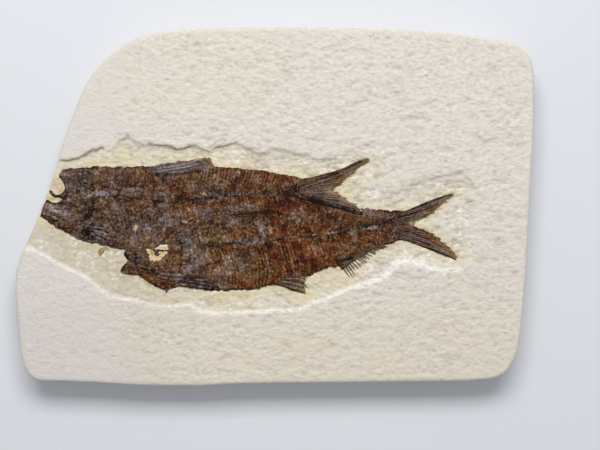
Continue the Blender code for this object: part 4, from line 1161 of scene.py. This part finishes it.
class Finish:
    """A node material, built from short calls."""

    def __init__(self, name):
        self.material = bpy.data.materials.new(name)
        self.material.use_nodes = True
        self.tree = self.material.node_tree
        self.shader = self.tree.nodes["Principled BSDF"]
        self.place = self.tree.nodes.new("ShaderNodeTexCoord").outputs["Object"]

    def join(self, node, entry, value):
        """Sets a socket to a number, a colour or another node's output."""
        socket = node.inputs[entry]
        if isinstance(value, bpy.types.NodeSocket):
            self.tree.links.new(value, socket)
        elif isinstance(value, tuple) and socket.type == "RGBA":
            socket.default_value = (*value, 1)
        else:
            socket.default_value = value

    def field(self, name):
        """The value that the mesh holds at each point under a name."""
        node = self.tree.nodes.new("ShaderNodeAttribute")
        node.attribute_name = name
        return node.outputs["Fac"]

    def noise(self, size, detail=3.0, stretch=(1, 1, 1)):
        """Uneven patches about size metres across."""
        mapping = self.tree.nodes.new("ShaderNodeMapping")
        mapping.inputs["Scale"].default_value = stretch
        self.join(mapping, "Vector", self.place)
        node = self.tree.nodes.new("ShaderNodeTexNoise")
        self.join(node, "Vector", mapping.outputs["Vector"])
        node.inputs["Scale"].default_value = 1 / size
        node.inputs["Detail"].default_value = detail
        return node.outputs["Fac"]

    def math(self, kind, a, b=0.0, c=0.0):
        """Arithmetic on one, two or three values."""
        node = self.tree.nodes.new("ShaderNodeMath")
        node.operation = kind
        for i, value in enumerate((a, b, c)):
            self.join(node, i, value)
        return node.outputs["Value"]

    def window(self, value, low, high):
        """Turns a value into 0 below low and 1 above high, eased between."""
        node = self.tree.nodes.new("ShaderNodeMapRange")
        node.interpolation_type = "SMOOTHSTEP"
        self.join(node, "Value", value)
        node.inputs["From Min"].default_value = low
        node.inputs["From Max"].default_value = high
        return node.outputs["Result"]

    def ramp(self, value, stops):
        """Colours along a value, from a list of places and colours."""
        node = self.tree.nodes.new("ShaderNodeValToRGB")
        elements = node.color_ramp.elements
        while len(elements) < len(stops):
            elements.new(0.5)
        for element, (place, colour) in zip(elements, stops):
            element.position = place
            element.color = (*colour, 1)
        self.join(node, "Fac", value)
        return node.outputs["Color"]

    def blend(self, share, under, over, kind="MIX"):
        """One colour laid over another by a share."""
        node = self.tree.nodes.new("ShaderNodeMix")
        node.data_type = "RGBA"
        node.blend_type = kind
        sockets = [s for s in node.inputs if s.type == "RGBA"]
        self.join(node, "Factor", share)
        for socket, value in zip(sockets, (under, over)):
            if isinstance(value, tuple):
                socket.default_value = (*value, 1)
            else:
                self.tree.links.new(value, socket)
        return next(s for s in node.outputs if s.type == "RGBA")

    def vector(self, kind, a, b):
        """Arithmetic on colours; scaling takes a plain factor."""
        node = self.tree.nodes.new("ShaderNodeVectorMath")
        node.operation = kind
        self.join(node, 0, a)
        self.join(node, "Scale" if kind == "SCALE" else 1, b)
        return node.outputs["Vector"]

    def bump(self, height, strength, depth):
        """Fine relief from a value."""
        node = self.tree.nodes.new("ShaderNodeBump")
        node.inputs["Strength"].default_value = strength
        node.inputs["Distance"].default_value = depth
        self.join(node, "Height", height)
        self.join(self.shader, "Normal", node.outputs["Normal"])


def limestone_finish():
    """Pale chalky limestone: cream, yellow near the fishes, greyer at the left, white where fresh, with
    painted shade in recesses and cracks.
    """
    stone = Finish("limestone")
    grain = stone.noise(0.0008, 3.0, (0.6, 1, 1))
    colour = stone.ramp(grain, CREAM_STONE)
    warm = stone.window(stone.noise(0.0034, 2.0, (0.8, 1.2, 1)), 0.42, 0.66)
    colour = stone.blend(stone.math("MULTIPLY", warm, 0.4), colour, WARM_STONE)
    cool = stone.window(stone.noise(0.0044, 2.0, (1, 1.3, 1)), 0.46, 0.7)
    colour = stone.blend(stone.math("MULTIPLY", cool, 0.5), colour, COOL_STONE)
    colour = stone.blend(stone.math("MULTIPLY", stone.field("grey"), 0.8), colour, GREY_STONE)
    colour = stone.blend(stone.field("yellow"), colour, YELLOW_STONE)
    # Painted shade in the pecked recesses and towards the bottom left
    colour = stone.blend(stone.field("hollow"), colour, PAINTED_SHADE_STONE)
    saw_lines = stone.window(stone.noise(0.0006, 3.0, (0.03, 0.03, 1)), 0.35, 0.7)
    sawn = stone.math("MULTIPLY", stone.field("sawn"), saw_lines)
    colour = stone.blend(stone.math("MULTIPLY", sawn, 0.5), colour, SAWN_STONE)
    fresh = stone.math("MULTIPLY", stone.field("fresh"), stone.window(grain, 0.2, 0.6))
    colour = stone.blend(fresh, colour, FRESH_STONE)
    # Stains, the dark marks partly painted shade, and the cracks' colour partly painted shade along the ledge
    for stain, tint in STAIN_TINTS.items():
        colour = stone.blend(stone.field(stain), colour, tint)
    stone.join(stone.shader, "Base Color", colour)
    stone.shader.inputs["Roughness"].default_value = 0.92
    stone.shader.inputs["Specular IOR Level"].default_value = 0.15
    stone.bump(stone.noise(0.0007, 4.0, (0.7, 1, 1)), 0.8, 0.0003)
    return stone.material


def bone_finish(name, rust_tint):
    """Brown fossil bone and scale with rust, grey, olive and black parts, painted highlights, and stone
    between fin rays.
    """
    bone = Finish(name)
    speck = bone.noise(0.00042, 2.0)
    mottle = bone.noise(0.0011, 3.0)
    hue = bone.blend(bone.field("rust"), PLAIN_BONE, rust_tint)
    for kind, tint in BONE_TINTS.items():
        hue = bone.blend(bone.field(kind), hue, tint)
    grain = bone.math("MULTIPLY_ADD", speck, 0.46, bone.math("MULTIPLY_ADD", mottle, 0.14, -0.3))
    tone = bone.math("ADD", grain, bone.field("tone"))
    lit = bone.vector("ADD", hue, bone.vector("SCALE", (0.95, 0.97, 1.0), tone))
    seen = bone.vector("MAXIMUM", lit, DARKEST_BONE)
    bone.join(bone.shader, "Base Color", bone.vector("POWER", seen, (SCREEN_GAMMA,) * 3))
    bone.join(bone.shader, "Roughness", bone.math("MULTIPLY_ADD", speck, 0.3, 0.5))
    bone.shader.inputs["Specular IOR Level"].default_value = 0.14
    bone.bump(speck, 0.6, 0.00015)
    return bone.material


def bit_finish():
    """Golden brown loose bone."""
    bit = Finish("golden_bone")
    grain = bit.noise(0.0007, 4.0)
    bit.join(bit.shader, "Base Color", bit.ramp(grain, GOLDEN_BIT))
    bit.shader.inputs["Roughness"].default_value = 0.55
    bit.bump(grain, 0.4, 0.0001)
    return bit.material


def floor_finish():
    """A plain pale tabletop."""
    table = Finish("pale_table")
    table.join(table.shader, "Base Color", table.ramp(table.noise(0.3, 2.0), PALE_TABLE))
    table.shader.inputs["Roughness"].default_value = 0.8
    table.bump(table.noise(0.002, 3.0), 0.05, 0.0001)
    return table.material


def covered_by_fish(spots, fishes, margin):
    """Which spots of the slab lie under a fish, at least a margin from its edges and its orbit."""
    hidden = np.zeros(len(spots), dtype=bool)
    for outline, windows in fishes:
        within = inside(spots, outline)
        for loop in [outline] + windows:
            within[within] = distance(spots[within], loop, closed=True) > margin
        for loop in windows:
            within &= ~inside(spots, loop)
        hidden |= within
    return hidden


def make_stone(fishes):
    """The slab: pecked face, basin and ledges, rounded rim, sawn sides and flat back."""
    lines = []
    for offset in RIM_RINGS:
        ring = shifted(SLAB_LOOP, -offset, closed=True)
        lines.append(ring + ring[:1])
    for half_width, _, crack in CRACKS:
        middle = spline(crack, CRACK_STEP)
        lines += [middle, shifted(middle, half_width), shifted(middle, -half_width)]
    spots = lattice(SLAB_LOOP, STONE_STEP, RIM_RINGS[-1] + 0.3)
    coarse = lattice(SLAB_LOOP, HIDDEN_STEP, HIDDEN_MARGIN)
    spots = np.concatenate((
        spots[~covered_by_fish(spots, fishes, HIDDEN_MARGIN)],
        coarse[covered_by_fish(coarse, fishes, HIDDEN_MARGIN + 0.5)]))
    plan, faces = plan_triangles([SLAB_LOOP], lines, spots)
    relief, hollow = stone_marks(plan)
    crack, crack_dark_and_shade = crack_depth(plan)
    rim = distance(plan, SLAB_LOOP, closed=True)
    settle = 0.25 + 0.75 * smooth(rim / (1.8 * EDGE_ROUND))
    level = stone_level(plan) + ORBIT_FILL * orbit_reach(plan)
    top = np.column_stack((plan, level + relief * settle - crack))

    def side_ring(height):
        def ring(edge):
            along = np.column_stack((edge[:, 0] + edge[:, 1], np.full(len(edge), height * 2.1)))
            waver = SIDE_WAVER * clouds(along, 2.4, 71)
            moved = np.array(shifted([tuple(p) for p in edge[:, :2]], waver, closed=True))
            return np.column_stack((moved, np.full(len(edge), height)))
        return ring

    def back_ring(edge):
        moved = np.array(shifted([tuple(p) for p in edge[:, :2]], BACK_BEVEL, closed=True))
        return np.column_stack((moved, np.zeros(len(edge))))

    lower_rings = [side_ring(height) for height in SIDE_HEIGHTS] + [back_ring]
    vertices, solid = closed_relief(top, faces, lower_rings)
    # The shade painted into the recesses fades out near the rim
    fields = stone_colours(plan, hollow * settle, fishes)
    # The cracks' dark colour, partly painted shade under the ledge step
    fields["crack"] = crack_dark_and_shade
    fields["sawn"] = np.arange(len(vertices)) >= len(top)
    return add_piece("stone_slab", vertices, solid, fields, limestone_finish())


def stone_colours(points, hollow, fishes):
    """Where the stone is yellow, grey, freshly white or stained, and where shade is painted into its recesses
    and towards the bottom left.
    """
    x, y = points.T
    basin = basin_share(points)
    near = np.full(len(points), np.inf)
    in_orbit = np.zeros(len(points), dtype=bool)
    for outline, windows in fishes:
        near = np.minimum(near, distance(points, outline, closed=True))
        for window in windows:
            in_orbit |= inside(points, window) | (distance(points, window, closed=True) < ORBIT_MARGIN)
    halo = np.exp(-near / HALO_WIDTH)
    patchy = smooth((clouds(points, (6, 3.4), 81) - 0.3) / 0.4)
    fine = clouds(points, (1.5, 0.8), 84)
    speckled = clouds(points, (0.8, 0.6), 88, 2)
    chips = smooth((clouds(points, (3.2, 2.2), 97) - 0.52) / 0.12)
    mottled = 0.6 + 0.5 * patchy + 0.3 * fine
    yellow = 0.8 * halo + basin * (0.26 + 0.42 * patchy) * (1 - 0.6 * smooth((x - 16) / 16))
    yellow *= (0.5 + 0.95 * fine) * (1 - 0.45 * smooth((x - 6) / 10) * smooth((y - 8) / 6))
    yellow += 0.26 * smooth((-18 - y) / 25) * smooth((x + 56) / 22) * mottled
    yellow += 0.13 * smooth((y - 20) / 14) * smooth((12 - x) / 20) * mottled
    yellow = np.where(in_orbit, 0.7, yellow)
    low_left = smooth((-14 - x) / 30)
    grey = smooth((-28 - wandering(points)[0]) / 34) * (1 - basin) * (0.6 + 0.8 * patchy)
    lower_gap = distance(points, LOWER_LEDGE_CURVE)
    band_places, bands = np.array(BROKEN_WIDTHS).T
    band = np.interp(x, band_places, bands)
    fresh = smooth(1.75 - lower_gap / band - 1.3 * speckled) * smooth(band - 0.2) ** 0.5
    chipped = (0.34 + 0.34 * chips) * (1 + 0.4 * smooth((x - 20) / 12))
    fresh = np.maximum(fresh, basin * smooth((speckled - 0.6 + 0.1 * chips) / 0.14) * chipped)
    fresh = np.where(in_orbit, 0.25, fresh)
    # Painted shade: in the pecked recesses, and darker towards the bottom left in the basin and below it
    shade = (0.65 + 0.1 * basin) * smooth(0.9 * hollow - 0.08)
    shade += basin * (0.05 + 0.4 * low_left) * smooth((-2 - y) / 6)
    shade += 0.11 * (1 - basin) * low_left * smooth((-24 - y) / 10)
    shade = np.where(in_orbit, 0.2 * shade, shade)
    fray = 0.9 * clouds(points, 0.9, 95, 2)
    fields = {kind: stained(points, lines, fray) for kind, lines in STONE_MARKS.items()}
    fields.update(
        yellow=np.clip(yellow, 0, 1), grey=np.clip(grey, 0, 1), fresh=np.clip(fresh, 0, 1),
        hollow=np.clip(shade, 0, 1))
    return fields


def stained(points, marks, fray):
    """How strongly marks of one kind cover each point, from 0 to 1, with frayed edges."""
    cover = np.zeros(len(points))
    for width, strength, line in marks:
        low, high = np.min(line, axis=0) - 2 * width, np.max(line, axis=0) + 2 * width
        near = np.all((points > low) & (points < high), axis=1)
        spots = points[near]
        share = strength * smooth(1.5 - distance(spots, line) / width - fray[near])
        cover[near] = np.maximum(cover[near], share)
    return cover


def fin_rays(points, hub, spacing):
    """Ridges of rays that spread from a hub, 0 between rays to 1 on them, twice as many further out.

    Each ray has its own strength, so that some stand out and some are faint.
    """
    x, y = points[:, 0] - hub[0], points[:, 1] - hub[1]
    reach = np.hypot(x, y)
    turn = np.arctan2(y, x) / spacing + 0.3 * (cloud(points, 2.5, 101) - 0.5)
    far = smooth((reach - RAY_SPLIT_START) / RAY_SPLIT_LENGTH)
    rays = np.zeros(len(points))
    for split, share in ((1, 1 - far), (2, far)):
        ridge = 0.5 + 0.5 * np.cos(2 * math.pi * turn * split)
        own = scatter(np.round(turn * split), 0 * x, 103 + split)
        rays += share * (0.5 + (ridge - 0.5) * (0.5 + 0.8 * own) + 0.24 * (own - 0.5))
    return np.clip(rays, 0, 1)


def fin_cover(plan, fins):
    """Where the fins are, where their rays stand up, and how near each point is to its fin's edge."""
    fin = np.zeros(len(plan))
    rays = np.zeros(len(plan))
    tips = np.zeros(len(plan))
    for region, hub, spacing, tip_line in fins:
        within = inside(plan, region)
        fin[within] = 1
        rays[within] = fin_rays(plan[within], hub, spacing)
        tips[within] = smooth(1.15 - distance(plan[within], tip_line) / TIP_WIDTH)
    return fin, rays, tips


def spread_hues(plan, lie, hues, fields):
    """Adds patches of rust, grey and olive to the marks, as strong as a fish's hues say along X."""
    places, *bands = np.array(hues).T
    marked_rust = fields["rust"].copy()
    for channel, (kind, band) in enumerate(zip(("rust", "grey_bone", "olive"), bands)):
        share = np.interp(plan[:, 0], places, band)
        patches = 0.55 * covered(plan, share, (4.2, 2.8), 201 + 7 * channel)
        patches += 0.45 * covered(lie[:, ::-1], share, (1.1, 2.2), 204 + 7 * channel)
        if kind != "rust":
            patches *= 1 - 0.7 * marked_rust
        fields[kind] = 1 - (1 - 0.95 * patches) * (1 - fields[kind])


def fish_surface(plan, loops, body_rim, body_loop, spine, head_end, fins, hues, marks):
    """The relief of one fish above the stone, and its colour fields.

    Ribs sweep back from the spine, plates cover the head, and rays ridge the fins. Glints are painted on the
    bone, and the vertebrae are painted lighter on their tops and darker between them, as highlight and shade.
    """
    x, y = plan.T
    spine_x, spine_y = np.array(spine).T
    off_spine = np.abs(y - np.interp(x, spine_x, spine_y)) / RIB_LENGTH
    gap = np.minimum.reduce([distance(plan, loop, closed=True) for loop in loops])
    skin = smooth(gap / SKIN_WIDTH)
    body = np.where(inside(plan, body_loop), smooth(distance(plan, body_rim) / CROWN_WIDTH), 0)
    head = smooth((head_end - x) / 2.5)
    fin, rays, tips = fin_cover(plan, fins)
    trunk = (1 - head) * (1 - fin)
    broken = clouds(plan, 0.7, 161, 2)
    fields = {kind: stained(plan, lines, 1.5 * (broken - 0.3)) for kind, lines in marks.items()}
    bow = RIB_BOW * np.sin(math.pi * 0.8 * np.minimum(off_spine, 1))
    along_ribs = np.column_stack((x - bow, y))
    flames = clouds(along_ribs, (0.75, 3.2), 153, 2) - 0.5
    rib_share = trunk * fields.pop("ribs")
    rib_turn = (x - bow) / RIB_PITCH + 0.7 * cloud(plan, (3.0, 5.0), 111)
    rib_strength = rib_share * (0.35 + 1.3 * clouds(along_ribs, (1.6, 3.6), 155, 2))
    ribs = 0.5 + rib_strength * 0.5 * np.cos(2 * math.pi * rib_turn)
    beads = 0.5 + 0.5 * np.cos(2 * math.pi * (x / VERTEBRA_PITCH + 2.4 * cloud(plan, 1.5, 113)))
    column = fields.pop("spine")
    scale_rim, scale_shade = plates(plan + 0.6 * (cloud(plan, 0.9, 119) - 0.5)[:, None], (1.0, 0.75), 121)
    bone_rim, bone_shade = plates(plan + 0.8 * (cloud(plan, 2, 131) - 0.5)[:, None], (3.6, 2.6), 133)
    crumbs = clouds(plan, 0.62, 141, 2) - 0.5
    blotches = clouds(plan, (2.6, 1.5), 145, 3) - 0.5
    zones = clouds(plan, (8, 5), 147, 2) - 0.5
    streaks = clouds(plan, (1.9, 0.5), 149, 2) - 0.5
    swell = clouds(plan, (5, 3.4), 151) - 0.5
    lie = np.where((head + fin)[:, None] > 0.5, plan, along_ribs[:, ::-1])
    light_bits = pecks(lie, 1.0, 0.38, 301, 0.4)
    dark_bits = pecks(lie, 1.3, 0.38, 311, 0.4)
    relief = RIM_THICKNESS + SKIN_THICKNESS * skin + BODY_CROWN * body
    scale_relief = SCALE_HEIGHT * smooth(scale_rim / 0.25) * (1 - head)
    plate_relief = PLATE_HEIGHT * head * smooth(bone_rim / 0.18)
    relief += skin * (
        RIB_HEIGHT * (ribs - 0.5) + VERTEBRA_HEIGHT * column * (beads - 0.3) + RAY_HEIGHT * fin * (rays - 0.5)
        + (0.22 - 0.12 * fin) * crumbs + SWELL_HEIGHT * swell * body + 0.1 * trunk * (streaks + 2 * flames)
        + BLOTCH_HEIGHT * blotches
        + (1 - fin) * (scale_relief + plate_relief)
        + (1 - fin) * (0.1 * (scale_shade - 0.5) + 0.08 * light_bits - 0.1 * dark_bits))
    tone = (0.2 - 0.08 * fin) * crumbs + 0.2 * blotches + 0.16 * zones + 0.08 * trunk * streaks
    tone += 0.16 * (ribs - 0.5) + (0.12 + 0.16 * rib_share) * trunk * flames
    tone += head * (0.08 * (bone_shade - 0.5) - 0.06 * smooth(1 - bone_rim / 0.1) + 0.04 * light_bits - 0.018)
    tone += (1 - fin) * (0.12 * (scale_shade - 0.5) + 0.06 * smooth(scale_rim / 0.25) - 0.04)
    tone += (1 - 0.6 * fin) * (0.2 * light_bits - 0.15 * dark_bits)
    # The vertebrae are painted lighter on their tops and darker between them, as highlight and shade
    tone += 0.3 * fin * (rays - 0.45) + column * (0.1 * beads - 0.04) - 0.03 * (1 - skin)
    tone -= 0.15 * fin * fields["dark_bone"]
    fields["tone"] = tone
    spread_hues(plan, lie, hues, fields)
    # Painted highlight on the vertebrae's tops
    fields["grey_bone"] = np.clip(fields["grey_bone"] + 0.5 * column * beads, 0, 1)
    fields["rust"] *= 1 - 0.8 * fin
    fields["gold"] = np.clip(fields["gold"] * (0.4 + 1.4 * (ribs - 0.5) + 0.6 * broken), 0, 1)
    # Dark spaces between the vertebrae, partly painted shade
    vertebra_gaps_and_shade = 0.6 * column * smooth((0.4 - beads) / 0.4) * smooth((clouds(plan, 2.2, 165, 2) - 0.42) / 0.16)
    # Painted glints on the lightest bits of bone, outside the fins
    glints = (1 - fin) * smooth((light_bits - 0.72) / 0.2)
    fields["pale_bone_and_highlight"] = np.clip(fields["pale_bone_and_highlight"] + 0.5 * glints, 0, 1)
    fields["dark_bone"] = np.clip(fields["dark_bone"] + vertebra_gaps_and_shade, 0, 1) * (1 - 0.95 * fields["pale_bone_and_highlight"])
    fields["gold"] = np.clip(fields["gold"] + 0.16 * tips, 0, 1)
    fields["stone"] = 0.82 * tips * smooth(0.86 - 1.5 * rays) * (1 - fields["dark_bone"])
    return relief, fields


def make_fish(name, loops, spine, head_end, body_rim, body_loop, fins, hues, marks, material):
    """One fish as a dense closed relief that is sunk a little into the stone under it."""
    row_step = FISH_STEP * math.sin(math.radians(60))
    spots = lattice(loops[0], (FISH_STEP, row_step), FISH_STEP / 2)
    for hole in loops[1:]:
        spots = spots[~inside(spots, hole)]
        spots = spots[distance(spots, hole, closed=True) > FISH_STEP / 2]
    plan, faces = plan_triangles(loops, [], spots)
    relief, fields = fish_surface(plan, loops, body_rim, body_loop, spine, head_end, fins, hues, marks)
    top = np.column_stack((plan, stone_level(plan) + relief))
    vertices, solid = closed_relief(top, faces, [sunk_ring])
    return add_piece(name, vertices, solid, fields, material)


def make_upper_fish():
    """The fish whose cut head reaches the slab's left edge."""
    overlap = spline(OVERLAP_LINE, FISH_RIM_STEP)
    tail_root = OVERLAP_LINE[6]
    body_rim = spline(UPPER_BELLY, BODY_STEP) + UPPER_JAW + UPPER_EYE_RIM + spline(UPPER_BACK, BODY_STEP)
    body_rim += spline(UPPER_BACK_REAR, BODY_STEP) + [tail_root]
    body_loop = body_rim + shifted(overlap[overlap.index(tail_root):], BODY_MARGIN)
    tail_edge = UPPER_FORK_HIGH + UPPER_FORK_LOW
    fins = [
        (UPPER_TAIL_REGION, UPPER_TAIL_HUB, TAIL_RAY_TURN, tail_edge),
        (UPPER_DORSAL_REGION, UPPER_DORSAL_HUB, DORSAL_RAY_TURN, UPPER_DORSAL_FIN[-3:]),
    ]
    return make_fish(
        "upper_fish_relief", [upper_fish_loop()], UPPER_SPINE, UPPER_HEAD_END, body_rim, body_loop, fins,
        UPPER_HUES, UPPER_MARKS, bone_finish("upper_fish_bone", UPPER_RUST))


def make_lower_fish():
    """The fish whose back is tucked under the other's belly, with an open orbit."""
    loops = [lower_fish_loop()] + orbit_loops()
    roots = [root for root, _ in ANAL_FIN_RAYS]
    tips = [tip for _, tip in ANAL_FIN_RAYS]
    body_rim = LOWER_FACE + spline(LOWER_BELLY, BODY_STEP) + spline(LOWER_BELLY_REAR, BODY_STEP) + roots
    body_rim += LOWER_TAIL_BOTTOM[:1] + LOWER_TAIL_TOP[-1:] + LOWER_BACK_REAR
    body_loop = body_rim + shifted(spline(OVERLAP_LINE, BODY_STEP), -BODY_MARGIN)
    tail_edge = LOWER_FORK_LOW + LOWER_FORK_HIGH
    anal_region = ANAL_FIN_BASE[:1] + tips + ANAL_FIN_BASE[:0:-1]
    fins = [
        (LOWER_TAIL_REGION, LOWER_TAIL_HUB, TAIL_RAY_TURN, tail_edge),
        (LOWER_PELVIC_REGION, LOWER_PELVIC_HUB, PELVIC_RAY_TURN, LOWER_PELVIC_TIPS),
        (anal_region, LOWER_ANAL_HUB, ANAL_RAY_TURN, tips),
    ]
    comb = comb_rays(ANAL_FIN_RAYS, ANAL_PITCH)
    ray_marks = [(0.3, 0.2, [start, start + 0.8 * (end - start)]) for start, end in comb]
    ray_marks += [(0.4, 0.8, [start, end]) for start, end in comb[:2]]
    marks = {**LOWER_MARKS, "dark_bone": LOWER_MARKS["dark_bone"] + ray_marks}
    return make_fish(
        "lower_fish_relief", loops, LOWER_SPINE, LOWER_HEAD_END, body_rim, body_loop, fins,
        LOWER_HUES, marks, bone_finish("lower_fish_bone", LOWER_RUST))


def sunk_ring(edge):
    """The rim of a relief, carried down into the stone."""
    return np.column_stack((edge[:, :2], stone_level(edge[:, :2]) - SUNK_DEPTH))


def make_bit():
    """The loose bit of golden bone on the stone."""
    loop = spline(BONE_BIT, FISH_RIM_STEP, closed=True)
    plan, faces = plan_triangles([loop], [], lattice(loop, (FISH_STEP, FISH_STEP), FISH_STEP / 2))
    rise = BIT_THICKNESS * smooth(distance(plan, loop, closed=True) / BIT_SLOPE + 0.3)
    rise += 0.08 * (clouds(plan, 0.6, 231) - 0.5)
    top = np.column_stack((plan, stone_level(plan) + rise))
    vertices, solid = closed_relief(top, faces, [sunk_ring])
    return add_piece("bone_bit", vertices, solid, {}, bit_finish())


def make_floor():
    """The pale tabletop that the slab lies on."""
    bpy.ops.mesh.primitive_plane_add(size=FLOOR_SIZE, location=(0, 0, CAD_LOW.z))
    floor = bpy.context.object
    floor.name = "tabletop"
    bpy.ops.object.transform_apply(location=True, rotation=True, scale=True)
    floor.data.materials.append(floor_finish())


def add_light():
    """Soft daylight from the fishes' back side, with an even pale fill."""
    world = bpy.data.worlds.new("pale_room")
    world.use_nodes = True
    background = world.node_tree.nodes["Background"]
    background.inputs["Color"].default_value = (0.96, 0.98, 1.0, 1)
    background.inputs["Strength"].default_value = SKY_STRENGTH
    bpy.context.scene.world = world
    lamp = bpy.data.lights.new("window_light", "AREA")
    lamp.shape = "RECTANGLE"
    lamp.size, lamp.size_y = LAMP_SIZE
    lamp.energy = LAMP_POWER
    lamp.color = (1.0, 0.985, 0.96)
    window = bpy.data.objects.new("window_light", lamp)
    back, up = LAMP_DISTANCE * math.cos(LAMP_ELEVATION), LAMP_DISTANCE * math.sin(LAMP_ELEVATION)
    window.location = (0.0, back, up)
    window.rotation_euler = (-window.location).to_track_quat("-Z", "Y").to_euler()
    bpy.context.collection.objects.link(window)


def add_camera():
    """Looks straight down on the face, with the fishes' backs to the top of the picture."""
    camera = bpy.data.cameras.new("camera")
    camera.sensor_width = CAMERA_SENSOR
    camera.lens = CAMERA_LENS
    viewer = bpy.data.objects.new("camera", camera)
    viewer.location = CAMERA_PLACE
    bpy.context.collection.objects.link(viewer)
    bpy.context.scene.camera = viewer


def main():
    """Makes the four pieces, hides the model's part that each stands in for, and sets up the room round them.
    """
    bpy.ops.object.select_all(action="DESELECT")
    scene = bpy.context.scene
    scene.view_settings.view_transform = "Standard"
    scene.view_settings.look = "None"
    fishes = [(upper_fish_loop(), []), (lower_fish_loop(), orbit_loops())]
    pieces = [
        (make_stone(fishes), "slab", "limestone"),
        (make_upper_fish(), "upper_fish", "upper_fish_bone"),
        (make_lower_fish(), "lower_fish", "lower_fish_bone"),
    ]
    for piece, node, slot in pieces:
        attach(piece, "root")
        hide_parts(node)
    bit = make_bit()
    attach(bit, "root")
    make_floor()
    add_light()
    add_camera()


main()
